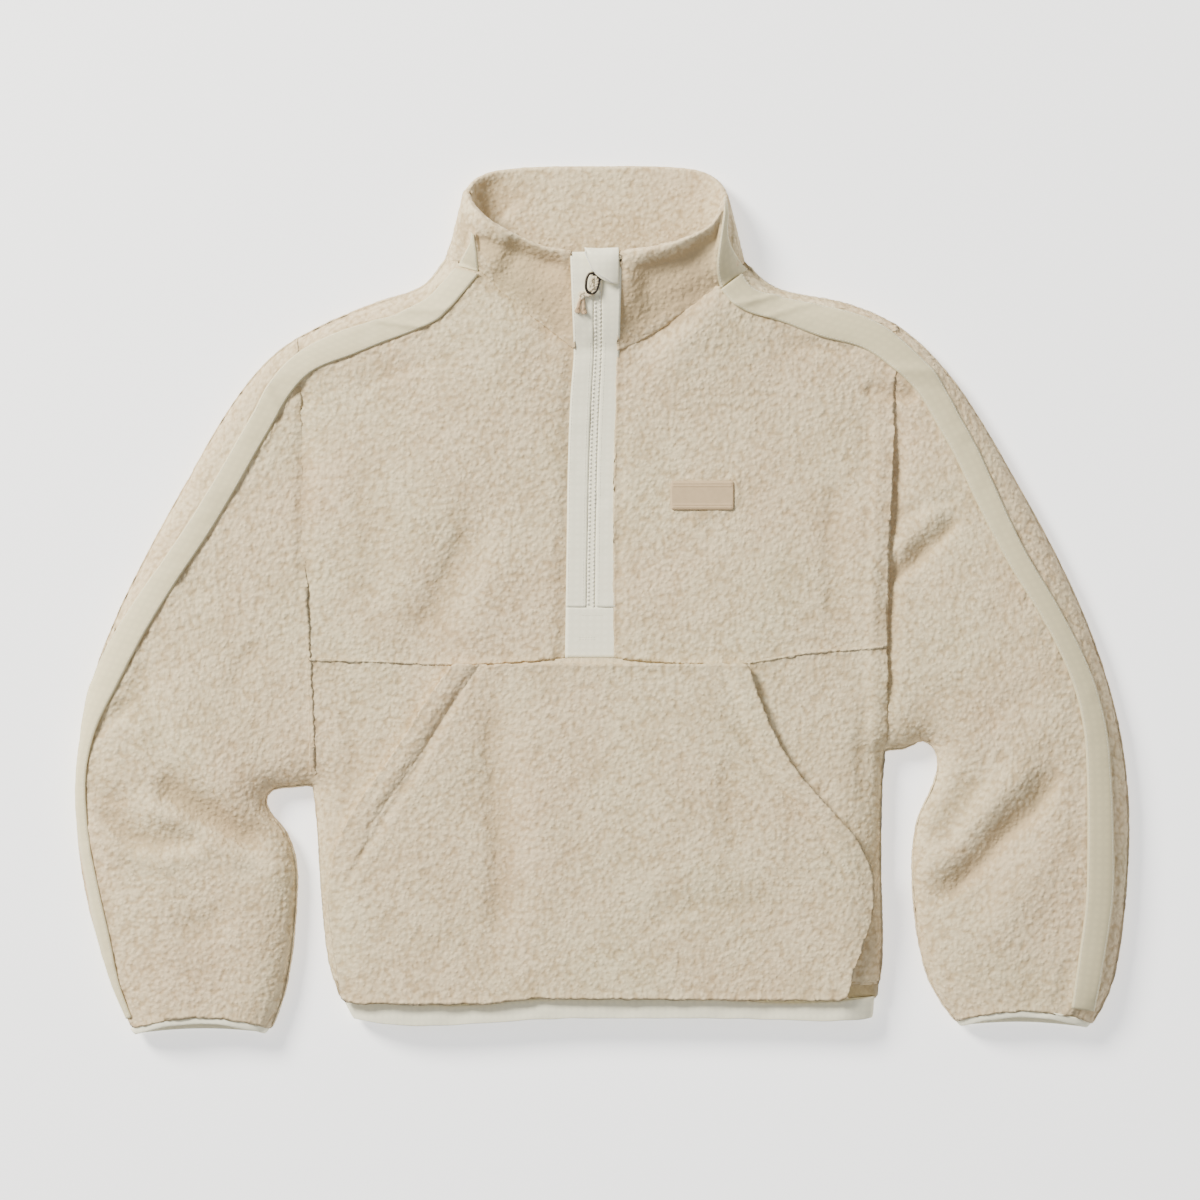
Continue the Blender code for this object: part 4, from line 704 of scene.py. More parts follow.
def subdivided(form, name, level):
    """The form as a mesh, rounded by a Subdivision Surface modifier."""
    mesh = bpy.data.meshes.new(name)
    form.to_mesh(mesh)
    form.free()
    piece = bpy.data.objects.new(name, mesh)
    bpy.context.collection.objects.link(piece)
    modifier = piece.modifiers.new("Rounded", "SUBSURF")
    modifier.levels = modifier.render_levels = level
    deselect()
    bpy.context.view_layer.objects.active = piece
    piece.select_set(True)
    bpy.ops.object.modifier_apply(modifier=modifier.name)
    return piece


def crease_rims(form, sharpness):
    """Keeps the edges where the shell's skins meet its rim from being rounded away."""
    layer = form.edges.layers.float.get("crease_edge") or form.edges.layers.float.new("crease_edge")
    for edge in form.edges:
        if edge.calc_face_angle(pi) > SHARP:
            edge[layer] = sharpness


def skin_data(form):
    """The skin's normals, which points are on it and on its border, and the way outwards."""
    form.verts.index_update()
    normals, beyond = (np.zeros((len(form.verts), 3)) for _ in range(2))
    on_skin = np.zeros(len(form.verts), bool)
    border = np.zeros(len(form.verts), bool)
    for face in form.faces:
        for corner in face.verts:
            if face.material_index == SHOWN:
                normals[corner.index] += face.normal * face.calc_area()
                on_skin[corner.index] = True
            else:
                beyond[corner.index] += face.normal * face.calc_area()
                border[corner.index] = True
    normals, beyond = unit(normals), unit(beyond)
    sideways = beyond - normals * (beyond * normals).sum(axis=1)[:, None]
    sideways[np.linalg.norm(sideways, axis=1) < 0.15] = 0
    return normals, on_skin, border & on_skin, unit(sideways)


def distances(points, border):
    """Each point's distance from the nearest of the border points, and which one that is."""
    tree = KDTree(len(border))
    for i, point in enumerate(border):
        tree.insert(point, i)
    tree.balance()
    found = [tree.find(point) for point in points]
    return np.array([f[2] for f in found]), np.array([f[1] for f in found])


def cover_tree(covers):
    """A search tree over what lies on a panel: tapes as they are laid, other nodes as packed."""
    points, faces = [], []
    for node in covers:
        start = len(points)
        if node in TAPE_EDGES or node in COLLAR_TAPES:
            top, normals = tape_strip(node)
            lower = top - normals * PRESSED
            points.extend(Vector(p) for p in lower.reshape(-1, 3))
            cells, _ = grid_faces(*lower.shape[:2])
            faces.extend((start + cells).tolist())
        else:
            mesh = cad(node).data
            points.extend(v.co.copy() for v in mesh.vertices)
            faces.extend([start + i for i in p.vertices] for p in mesh.polygons)
    return BVHTree.FromPolygons(points, faces)


def cover_gaps(points, tree, reach=6 * MM):
    """Each point's distance from what covers the panel, up to `reach`."""
    if tree is None:
        return np.full(len(points), reach)
    found = (tree.find_nearest(Vector(p), reach)[3] for p in points)
    return np.array([reach if gap is None else gap for gap in found])


def is_covered(face, tree, look):
    """Whether a face touches what covers the panel, or looks up at it from below."""
    middle = face.calc_center_median()
    if tree.find_nearest(middle, TOUCH)[0]:
        return True
    if look != "up" or face.normal.z < 0.2:
        return False
    return tree.ray_cast(middle, Vector((0, 0, 1)), OVERHANG)[0] is not None


def crease_depth(points, creases):
    """How far the cloth is drawn in or pushed out along the listed creases, in metres.

    A crease is steep on its right and broad on its left, and it fades at its ends.
    """
    total = np.zeros(len(points))
    waver = 1.1 * swell(points, 0.04, 3.0)
    for depth, width, bank, line in creases:
        away, share = beside(points[:, :2] / MM, spline(line, 12))
        t = (away + waver) / width
        fade = 0.1 + 0.9 * rising(np.minimum(share, 1 - share), 0.0, 0.2)
        valley = bell(t, np.where(t > 0, 1.5, 0.7))
        heap = bell(t - 2.6, 1.5) if bank > 0 else bell(t + 1.6, 0.9)
        total += fade * depth * (abs(bank) * heap - valley)
    return total * MM


def beside(flat, line):
    """Each point's distance to the left of a line of points, and how far along it that is."""
    steps = np.diff(line, axis=0)
    sizes = np.linalg.norm(steps, axis=1)
    runs = np.concatenate([[0], np.cumsum(sizes)])
    away, along, nearest = (np.zeros(len(flat)) for _ in range(3))
    nearest += 1e9
    for start, step, size, run in zip(line, steps, sizes, runs):
        to = flat - start
        share = np.clip((to @ step) / size**2, 0, 1)
        gap = np.linalg.norm(to - share[:, None] * step, axis=1)
        left = step[0] * to[:, 1] - step[1] * to[:, 0]
        closer = gap < nearest
        nearest[closer] = gap[closer]
        away[closer] = np.where(left >= 0, gap, -gap)[closer]
        along[closer] = run + share[closer] * size
    return away, along / runs[-1]


def marked_shell(node, look, level):
    """A node's shell, rounded, whose faces are marked as the skin that shows or as hidden."""
    form = quads_of(node)
    if look == "both":
        least = 0.08 * area_of(form.faces)
        shown = [f for group in skins(form) if area_of(group) > least for f in group]
    else:
        shown = outer_skin(form, 1 if look == "up" else -1)
    for face in form.faces:
        face.material_index = HIDDEN
    for face in shown:
        face.material_index = SHOWN
    crease_rims(form, 0.9)
    return subdivided(form, f"pile_{node}", level)


def split_skin(piece, tree, look, resting):
    """Hides what is covered, splits the skin that shows into cells, and returns its skin data."""
    form = bmesh.new()
    form.from_mesh(piece.data)
    if tree:
        for face in form.faces:
            if is_covered(face, tree, look):
                face.material_index = HIDDEN
    cell = bpy.context.scene.pullover_pile.cell
    if resting:
        refine(form, cell * 3)
    refine(form, cell, lowest=-0.1 if resting else -2.0)
    form.normal_update()
    data = skin_data(form)
    form.to_mesh(piece.data)
    form.free()
    return data


def drawn_in(node, points, gaps, resting):
    """How far the node's creases draw the cloth in, less and less towards what covers it."""
    drawn = crease_depth(points, CREASES.get(node, []))
    if resting:
        drawn = np.minimum(drawn, 0.0)
    return drawn * rising(gaps, PRESSED, 4 * MM)


def pile_push(place, height, seam, pressed, down, look):
    """How far the pile stands out from the skin in metres: less at seams and under covers."""
    stand = (0.6 + 0.4 * seam) * (0.12 + 0.88 * pressed)
    sunk = 0.1 if look == "both" else 0.4
    push = (height - sunk - 0.6 * down) * bpy.context.scene.pullover_pile.height * stand
    return push + 0.09 * MM * swell(place, 0.031, 9.0) * seam * pressed * (1 - down)


def fit_hem(node, points):
    """Draws the lower front up behind the pocket, whose left half is let down to cover it."""
    if node == "front_lower":
        # Below y = -312.5 mm it is squeezed to a fifth.
        points[:, 1] = np.maximum(points[:, 1], points[:, 1] * 0.2 - 250 * MM)
    elif node == "pocket":
        near_hem = rising(-points[:, 1], 0.300, 0.322)
        left_half = rising(-points[:, 0], 0.05, 0.10) * (1 - rising(-points[:, 0], 0.195, 0.225))
        points[:, 1] -= 5 * MM * near_hem * left_half


def clad(mesh, light):
    """Gives a fleece mesh its material in both slots, and the painted shade of its pile at each
    point.
    """
    layer = mesh.attributes.new("curl", "FLOAT", "POINT")
    layer.data.foreach_set("value", light.astype(np.float32))
    mesh.update()
    mesh.shade_smooth()
    mesh.materials.clear()
    for _ in (SHOWN, HIDDEN):
        mesh.materials.append(material("sherpa"))


def furred(node, look, covers=(), level=1, resting=False):
    """A fleece piece: the CAD shell rounded, with curls of pile on the skin that shows.

    look is "up", "down" or "both" for a turned-over collar; covers are the nodes that press the
    pile flat; a resting panel's pile is pressed by the table, so its hollows go inwards.
    """
    piece = marked_shell(node, look, level)
    tree = cover_tree(covers) if covers else None
    normals, on_skin, border, sideways = split_skin(piece, tree, look, resting)
    mesh = piece.data
    points = corners_of(mesh)
    gaps = cover_gaps(points, tree)
    drawn = drawn_in(node, points, gaps, resting)
    place, up = points[on_skin], normals[on_skin]
    height = pile_height(place)
    gap, nearest = distances(place, points[border])
    seam = rising(gap, 0.0, SEAM)
    pressed = rising(gaps[on_skin], PRESSED, FREE)
    down = rising(-up[:, 2], 0.0, 0.6) if resting else 0.0
    push = pile_push(place, height, seam, pressed, down, look)
    if look == "up":
        # The pile heaps up over a seam, but not inside a crease.
        level_ground = drawn[on_skin] > -0.5 * MM
        push += 0.8 * MM * bell(gap, 2 * MM) * pressed * level_ground
    # At its border it reaches out over the seam.
    reach = (2.0 + 0.9 * height + 0.5 * swell(place, 0.03, 6.0)) * bell(gap, 2.2 * MM)
    steep = drawn[on_skin] * np.clip(np.abs(up[:, 2]), 0.3, 1)
    if look == "both":
        steep -= 0.9 * MM * bell(gap, 3 * MM)
    points[~on_skin, 2] += drawn[~on_skin]
    points[on_skin] = (
        place + up * push[:, None] + sideways[border][nearest] * (reach * pressed * MM)[:, None]
    )
    points[on_skin, 2] += steep if look != "down" else -steep
    points[:, 2] = np.maximum(points[:, 2], 0.0)
    fit_hem(node, points)
    mesh.vertices.foreach_set("co", points.ravel())
    # Painted shade in the curl attribute: darker between curls, darker in creases by their depth
    # (hollow), and darker near seams.
    light = np.full(len(points), 0.6)
    hollow = 0.17 * np.clip(-steep / MM, 0, 5) + 0.15 * (1 - seam)
    light[on_skin] = height * (0.3 + 0.7 * pressed) + 0.5 * (1 - pressed) - hollow
    clad(mesh, light)
    finish(piece, "garment", [node])


def declare_sheets():
    """Measures the area of each node in CUTS once all pieces are made, and keeps nothing of it."""
    for node, (width, long, below) in CUTS.items():
        form = quads_of(node)
        area = area_of(form.faces) / 2
        form.free()


# ---------------------------------------------------------------- strips of tape


def outline(skin):
    """The border of a group of faces, as a ring of points.

    It starts where it is farthest out from the garment's middle line, and highest there, so that
    every run lays the strips the same way round.
    """
    inside, after = set(skin), {}
    for face in skin:
        for loop in face.loops:
            if sum(f in inside for f in loop.edge.link_faces) == 1:
                after[loop.vert] = loop.link_loop_next.vert
    ring = [next(iter(after))]
    while after[ring[-1]] is not ring[0]:
        ring.append(after[ring[-1]])
    ring = np.array([v.co[:] for v in ring])
    first = np.argmax(np.abs(ring[:, 0]) + MM * ring[:, 1])
    return np.roll(ring, -first, axis=0)


def four_sides(ring):
    """A ring of points cut at its four sharpest corners, starting with a long side."""
    ahead = np.roll(ring, -1, axis=0) - ring
    behind = ring - np.roll(ring, 1, axis=0)
    turn = (ahead * behind).sum(axis=1)
    turn /= np.linalg.norm(ahead, axis=1) * np.linalg.norm(behind, axis=1)
    cuts = sorted(np.argsort(turn)[:4])
    ring, cuts = np.roll(ring, -cuts[0], axis=0), [c - cuts[0] for c in cuts]
    ring = np.vstack([ring, ring[:1]])
    sides = [ring[a:b + 1] for a, b in zip(cuts, [*cuts[1:], len(ring) - 1])]
    one, end, other, start = (path_length(side) for side in sides)
    return sides if one + other > end + start else sides[1:] + sides[:1]


def path_length(points):
    return np.linalg.norm(np.diff(points, axis=0), axis=1).sum()


def strip_grid(node, cell):
    """A grid over a node's outer skin, its columns running along the longer way."""
    form = quads_of(node)
    skin = outer_skin(form, 1)
    one, end, other, _ = four_sides(outline(skin))
    rows = max(4, round(path_length(one) / cell) + 1)
    columns = max(4, round(path_length(end) / cell) + 1)
    one, other = spline(one, rows), spline(other[::-1], rows)
    share = np.linspace(0, 1, columns)[None, :, None]
    grid = one[:, None] * (1 - share) + other[:, None] * share
    tree = skin_tree(form, skin)
    snapped = np.array([tree.find_nearest(Vector(p))[0][:] for p in grid.reshape(-1, 3)])
    form.free()
    return snapped.reshape(grid.shape)


def spline(points, count):
    """Points along the smooth curve through the first axis of an array, evenly by length."""
    points = np.asarray(points, float)
    flat = points.reshape(len(points), -1)
    padded = np.vstack([2 * flat[0] - flat[1], flat, 2 * flat[-1] - flat[-2]])
    shape = flat.reshape(len(flat), -1, 3) if flat.shape[1] % 3 == 0 else flat[:, None]
    steps = np.linalg.norm(np.diff(shape, axis=0), axis=2).mean(axis=1)
    runs = np.concatenate([[0], np.cumsum(steps)])
    at = np.interp(np.linspace(0, runs[-1], count), runs, range(len(flat)))
    i = np.clip(at.astype(int), 0, len(flat) - 2)
    t = (at - i)[:, None]
    a, b, c, d = (padded[i + k] for k in range(4))
    curve = b + 0.5 * t * (c - a + t * (2 * a - 5 * b + 4 * c - d + t * (3 * (b - c) + d - a)))
    return curve.reshape(count, *points.shape[1:])


def eased(grid, times):
    """The grid with its inner rows and columns averaged with their neighbours."""
    for _ in range(times):
        grid = grid.copy()
        grid[1:-1] = 0.5 * grid[1:-1] + 0.25 * (grid[:-2] + grid[2:])
        grid[:, 1:-1] = 0.5 * grid[:, 1:-1] + 0.25 * (grid[:, :-2] + grid[:, 2:])
    return grid


def grid_normals(grid):
    """The grid's normals, which point up."""
    along = np.gradient(grid, axis=0)
    across = np.gradient(grid, axis=1)
    normals = unit(np.cross(across, along))
    return normals * np.sign(normals[..., 2].mean() or 1)


def lengths_over(grid):
    """Distance along and across at each point of a grid, in metres."""
    along = np.linalg.norm(np.diff(grid, axis=0), axis=2).mean(axis=1)
    across = np.linalg.norm(np.diff(grid, axis=1), axis=2)
    v = np.concatenate([[0], np.cumsum(along)])[:, None] + np.zeros(grid.shape[1])
    u = np.concatenate([np.zeros((len(grid), 1)), np.cumsum(across, axis=1)], axis=1)
    return u, v


def strip_map(mesh, flat):
    """The UV map that the weave follows, from two lengths in metres at each of a mesh's corners."""
    layer = mesh.uv_layers.new(name="strip")
    corner = np.empty(len(mesh.loops), int)
    mesh.loops.foreach_get("vertex_index", corner)
    layer.data.foreach_set("uv", flat[corner].astype(np.float32).ravel())


def grid_faces(rows, columns):
    """The faces between the points of a grid, and the points' numbers in rows and columns."""
    index = np.arange(rows * columns).reshape(rows, columns)
    a, b, c, d = index[:-1, :-1], index[:-1, 1:], index[1:, 1:], index[1:, :-1]
    return np.stack([a, b, c, d], axis=-1).reshape(-1, 4), index


def sheet_mesh(name, top, bottom, u, v):
    """A closed thin sheet between two grids, with along and across as its UV map."""
    points = np.concatenate([top.reshape(-1, 3), bottom.reshape(-1, 3)])
    upper, index = grid_faces(*top.shape[:2])
    lower = upper[:, ::-1] + index.size
    rim = np.concatenate([index[0], index[1:, -1], index[-1, -2::-1], index[-2:0:-1, 0]])
    after = np.roll(rim, -1)
    walls = np.stack([after, rim, rim + index.size, after + index.size], axis=1)
    mesh = bpy.data.meshes.new(name)
    mesh.from_pydata(points.tolist(), [], np.concatenate([upper, lower, walls]).tolist())
    strip_map(mesh, np.stack([np.tile(u.ravel(), 2), np.tile(v.ravel(), 2)], axis=1))
    return closed(mesh)


def laid_rows(rows):
    """A grid between the two ends of each row, laid on the collar and the fronts below it."""
    long, wide = 30, 8
    above, lift = 0.2, 0.7 * MM
    ends = spline(np.array(rows).reshape(-1, 2, 2) * MM, long)
    share = np.linspace(0, 1, wide)[None, :, None]
    plan = ends[:, :1] * (1 - share) + ends[:, 1:] * share
    tree = cover_tree(["collar_left", "collar_right", "collar_back", "front_left", "front_right"])
    grid = np.zeros((long, wide, 3))
    for i, j in itertools.product(range(long), range(wide)):
        hit = tree.ray_cast(Vector((*plan[i, j], above)), Vector((0, 0, -1)))[0]
        grid[i, j] = (*plan[i, j], hit.z + lift)
    return grid


STRIPS = {}


def narrowed(grid, edges):
    """The grid cut off beyond an edge, given as shares of its length and of its width."""
    along, across = np.array(edges).T
    edge = np.interp(np.linspace(0, 1, len(grid)), along, across)
    columns = max(5, round(grid.shape[1] * edge.mean()))
    at = edge[:, None] * np.linspace(0, grid.shape[1] - 1, columns)
    low = np.minimum(at.astype(int), grid.shape[1] - 2)
    share = (at - low)[..., None]
    rows = np.arange(len(grid))[:, None]
    return grid[rows, low] * (1 - share) + grid[rows, low + 1] * share


def tape_strip(node, cell=2.0 * MM):
    """The grid of a tape's top, as far across its node as TAPE_EDGES says, and its normals."""
    if node not in STRIPS:
        if node in COLLAR_TAPES:
            grid = eased(laid_rows(COLLAR_TAPES[node]), 3)
        else:
            grid = eased(strip_grid(node, cell), 6)
        if node in TAPE_EDGES:
            grid = narrowed(grid, TAPE_EDGES[node])
        STRIPS[node] = grid, grid_normals(grid)
    return STRIPS[node]


def puckered(node, u, v):
    """How far a tape's folds stand up from where it lies."""
    half_tape = 12  # mm, over which a fold's slant is given
    lift = np.zeros(u.shape)
    middle = u - u[:, -1:] / 2
    for at, height, width, slant in PUCKERS.get(node, []):
        away = v - at * v[-1] - middle * slant / half_tape
        lift += height * MM * bell(away, width * MM)
    return lift


def widened(grid, start, end, left, right):
    """The grid with its borders moved outwards by so many millimetres."""
    grid = grid.copy()
    grid[0] += unit(grid[0] - grid[1]) * start * MM
    grid[-1] += unit(grid[-1] - grid[-2]) * end * MM
    grid[:, 0] += unit(grid[:, 0] - grid[:, 1]) * left * MM
    grid[:, -1] += unit(grid[:, -1] - grid[:, -2]) * right * MM
    return grid


def tape(node, name, kind, cell=2.0 * MM, turned=0.0, pucker=0.0, wider=None, rise=0.0):
    """Lays a strip of tape over its node's outer skin, and returns its top and its normals.

    Its edges are turned down and it puckers; wider is how far its four borders are moved out in
    mm, and rise how far it is lifted.
    """
    grid, normals = tape_strip(node, cell)
    if wider:
        grid, normals = left_first(grid, normals)
        grid = widened(grid, *wider)
    u, v = lengths_over(grid)
    edge = np.minimum(u, u[:, -1:] - u)
    flat = grid.reshape(-1, 3)
    ripple = swell(flat, 0.021, 4.0) * swell(flat, 0.083, 1.0)
    lift = rise - turned * bell(edge, 1.0 * MM)
    lift = lift + pucker * ripple.reshape(u.shape) + puckered(node, u, v)
    top = grid + normals * lift[..., None]
    mesh = sheet_mesh(name, top, top - normals * TAPE_THICKNESS, u, v)
    finish(new_piece(name, mesh, kind), "garment", [node])
    return top, normals


# ---------------------------------------------------------------- sewing


def stitch_shape():
    """One stitch: a short length of thread whose ends go down into the cloth."""
    sewing = bpy.context.scene.pullover_sewing
    half_long, half_thick = 0.43 * sewing.pitch, sewing.thread / 2
    deselect()
    bpy.ops.mesh.primitive_uv_sphere_add(segments=6, ring_count=4, radius=1.0)
    stitch = bpy.context.object
    bpy.ops.object.mode_set(mode="EDIT")
    bpy.ops.mesh.select_all(action="SELECT")
    bpy.ops.transform.resize(value=(half_long, half_thick, half_thick))
    bpy.ops.object.mode_set(mode="OBJECT")
    points, faces = taken_shape(stitch)
    share = points[:, 0] / half_long
    points[:, 2] += sewing.thread * (0.35 - 0.7 * share**2)
    return points, faces


def sewn(name, lines, kind="thread"):
    """Rows of stitches along (points, normals) lines, as one piece."""
    sewing = bpy.context.scene.pullover_sewing
    rows = [along_line(points, normals, sewing.pitch) for points, normals in lines]
    spots = [np.concatenate(parts) for parts in zip(*rows)]
    return copies(name, *stitch_shape(), spots, kind)


def line_across(top, normals, inset):
    """The line at a distance from a strip's first edge, or from its last for a negative one."""
    u, _ = lengths_over(top)
    both = np.concatenate([top, normals], axis=2)
    rows = []
    for away, row in zip(u, both):
        at = inset if inset >= 0 else away[-1] + inset
        rows.append([np.interp(at, away, row[:, k]) for k in range(6)])
    rows = np.array(rows)
    return rows[:, :3], rows[:, 3:]


# ---------------------------------------------------------------- small shapes and tubes


def along_line(points, normals, pitch):
    """Evenly spaced spots along a line: place, way, side and normal of each."""
    steps = np.linalg.norm(np.diff(points, axis=0), axis=1)
    runs = np.concatenate([[0], np.cumsum(steps)])
    count = max(2, round(runs[-1] / pitch))
    at = (np.arange(count) + 0.5) / count * runs[-1]
    nudge = 1e-4

    def spots(where, table):
        return np.stack([np.interp(where, runs, table[:, k]) for k in range(3)], axis=1)

    way = unit(spots(at + nudge, points) - spots(at - nudge, points))
    up = spots(at, normals)
    return spots(at, points), way, unit(np.cross(up, way)), up


def copies(name, shape, faces, spots, kind, alternate=False):
    """One mesh with a copy of a small shape at each spot, every other one turned if alternate."""
    points, all_faces = [], []
    for i, (place, way, side, up) in enumerate(zip(*spots)):
        turn = -1 if alternate and i % 2 else 1
        body = place + turn * shape[:, :1] * way + turn * shape[:, 1:2] * side + shape[:, 2:] * up
        start = i * len(shape)
        points.extend(body.tolist())
        all_faces.extend(tuple(start + k for k in face) for face in faces)
    mesh = bpy.data.meshes.new(name)
    mesh.from_pydata(points, [], all_faces)
    mesh.shade_smooth()
    return new_piece(name, mesh, kind)


def taken_shape(piece):
    """A small model's points and faces, once it is removed from the scene."""
    points = corners_of(piece.data)
    faces = [tuple(p.vertices) for p in piece.data.polygons]
    bpy.data.objects.remove(piece)
    return points, faces


def tooth_shape():
    """One tooth of the zip: a foot on its tape, a neck, and a head that crosses the middle."""
    deselect()
    bpy.ops.mesh.primitive_cube_add(size=1.0)
    tooth = bpy.context.object
    bpy.ops.object.mode_set(mode="EDIT")
    bpy.ops.mesh.select_all(action="SELECT")
    bpy.ops.transform.resize(value=(1.5 * MM, 1.6 * MM, 1.5 * MM))
    bpy.ops.transform.translate(value=(0, -2.1 * MM, -0.85 * MM))
    for reach, swell_by in ((0.9, 0.62), (0.7, 1.75), (0.9, 0.8)):
        form = bmesh.from_edit_mesh(tooth.data)
        for face in form.faces:
            face.select_set(face.normal.y > 0.9)
        bmesh.update_edit_mesh(tooth.data)
        bpy.ops.mesh.extrude_region_move(TRANSFORM_OT_translate={"value": (0, reach * MM, 0)})
        bpy.ops.transform.resize(value=(swell_by, 1.0, 1.0))
    bpy.ops.mesh.select_all(action="SELECT")
    bpy.ops.mesh.bevel(offset=0.16 * MM, segments=1, affect="EDGES")
    bpy.ops.object.mode_set(mode="OBJECT")
    return taken_shape(tooth)


def frames(path):
    """Two directions square to a path at each of its points, without twist."""
    way = unit(np.gradient(path, axis=0))
    side = np.cross(way[0], (0.0, 0.0, 1.0))
    if np.linalg.norm(side) < 0.1:
        side = np.cross(way[0], (0.0, 1.0, 0.0))
    sides = []
    for w in way:
        side = side - w * (side @ w)
        side = side / np.linalg.norm(side)
        sides.append(side)
    sides = np.array(sides)
    return sides, np.cross(way, sides)


def twisted(path, count, radius, turns, spread=1.0):
    """Paths of `count` strands wound round a path, which spread apart towards its end."""
    side, up = frames(path)
    share = np.linspace(0, 1, len(path))
    grow = radius * (1 + (spread - 1) * share**2)
    strands = []
    for i in range(count):
        angle = 2 * pi * (i / count + turns * share)
        wander = 1.0 + (0.25 * sin(5.0 * i) * share if count > 2 else 0.0)
        offset = np.cos(angle)[:, None] * side + np.sin(angle)[:, None] * up
        strands.append(path + offset * (grow * wander)[:, None])
    return strands


def tube_mesh(name, paths, radius, sides):
    """Closed tubes along several paths, rounded off at their ends, as one mesh."""
    points, faces = [], []
    for path in paths:
        side, up = frames(path)
        start, rows = len(points), len(path)
        angles = np.arange(sides) * 2 * pi / sides
        for i in range(rows):
            near_end = min(i, rows - 1 - i)
            size = radius * ROUNDED_END.get(near_end, 1.0)
            out = np.cos(angles)[:, None] * side[i] + np.sin(angles)[:, None] * up[i]
            points.extend((path[i] + size * out).tolist())
        for i in range(rows - 1):
            for k in range(sides):
                a, b = start + i * sides + k, start + i * sides + (k + 1) % sides
                faces.append((a, b, b + sides, a + sides))
        faces.append(tuple(start + k for k in reversed(range(sides))))
        faces.append(tuple(start + (rows - 1) * sides + k for k in range(sides)))
    mesh = bpy.data.meshes.new(name)
    mesh.from_pydata(points, [], faces)
    return closed(mesh)


def tape_plane():
    """Height of the zip's tape near the pull, as the z = a x + b y + c that fits it best."""
    form = quads_of("zip_placket_left")
    spots = np.array([f.calc_center_median()[:] for f in outer_skin(form, 1)])
    form.free()
    near = spots[(spots[:, 1] > PULL_SPAN[0]) & (spots[:, 1] < PULL_SPAN[1])]
    table = np.column_stack([near[:, :2], np.ones(len(near))])
    return np.linalg.lstsq(table, near[:, 2], rcond=None)[0]


def lifted(points, ground):
    """Points in mm, given by their height above the zip's tape, in metres."""
    points = np.array(points) * MM
    points[:, 2] += points[:, :2] @ ground[:2] + ground[2]
    return points


def knot_path(ground):
    """One overhand knot's line, squashed into the knot's place."""
    t = np.linspace(0.35, 2 * pi + 0.2, 90)
    x = np.sin(t) + 2 * np.sin(2 * t)
    y = np.cos(t) - 2 * np.cos(2 * t)
    line = np.stack([x / 3, y / 3, -np.sin(3 * t)], axis=1)
    half_cord = 0.75
    reach = np.array(KNOT_SIZE) / 2 - half_cord
    return lifted([KNOT_AT], ground) + line * reach * MM


def left_first(grid, normals):
    """The grid with its first column on the left."""
    if grid[:, 0, 0].mean() < grid[:, -1, 0].mean():
        return grid, normals
    return grid[:, ::-1], normals[:, ::-1]


def row_on(top, normals, y, start, end):
    """A line across a grid at one y, from one x to another."""
    count = 12
    flat, up = top.reshape(-1, 3), normals.reshape(-1, 3)
    x = np.linspace(start, end, count)
    nearest = [int(np.argmin((flat[:, 0] - each) ** 2 + (flat[:, 1] - y) ** 2)) for each in x]
    points = np.stack([x, np.full(count, y), flat[nearest, 2]], axis=1)
    return points, up[nearest]


def rounded_corners(grid, across, along, radius):
    """The grid with its four corners drawn in to a radius."""
    into = np.stack([radius - across, radius - along], axis=-1)
    gap = np.linalg.norm(into, axis=-1)
    beyond = (into > 0).all(axis=-1) & (gap > radius)
    pull = np.where(beyond, (gap - radius) / np.maximum(gap, 1e-9), 0.0)[..., None]
    to_middle = grid.mean(axis=(0, 1)) - grid
    moved = grid
    for k, way in enumerate((unit(grid[:, -1:] - grid[:, :1]), unit(grid[-1:] - grid[:1]))):
        inward = np.sign((to_middle * way).sum(axis=-1, keepdims=True)) * way
        moved = moved + pull * inward * into[..., k:k + 1]
    return moved


# ---------------------------------------------------------------- tools for the panel


class Making:
    """What the pullover's operators share."""

    bl_options = {"REGISTER", "UNDO"}


def banded(node):
    """A white band: its node's shell, rounded, with a strip map for the weave."""
    form = quads_of(node)
    crease_rims(form, 0.5)
    piece = subdivided(form, f"woven_{node}", 2)
    mesh = piece.data
    mesh.materials.clear()
    mesh.materials.append(material("white_tape"))
    points = corners_of(mesh)
    strip_map(mesh, points[:, :2])
    gather = 0.6 * MM * swell(points, 0.034, 2.0) * rising(points[:, 2], 2 * MM, 9 * MM)
    points[:, 2] += gather
    points[:, 1] += 0.8 * gather
    mesh.vertices.foreach_set("co", points.ravel())
    mesh.shade_smooth()
    finish(piece, "garment", [node])


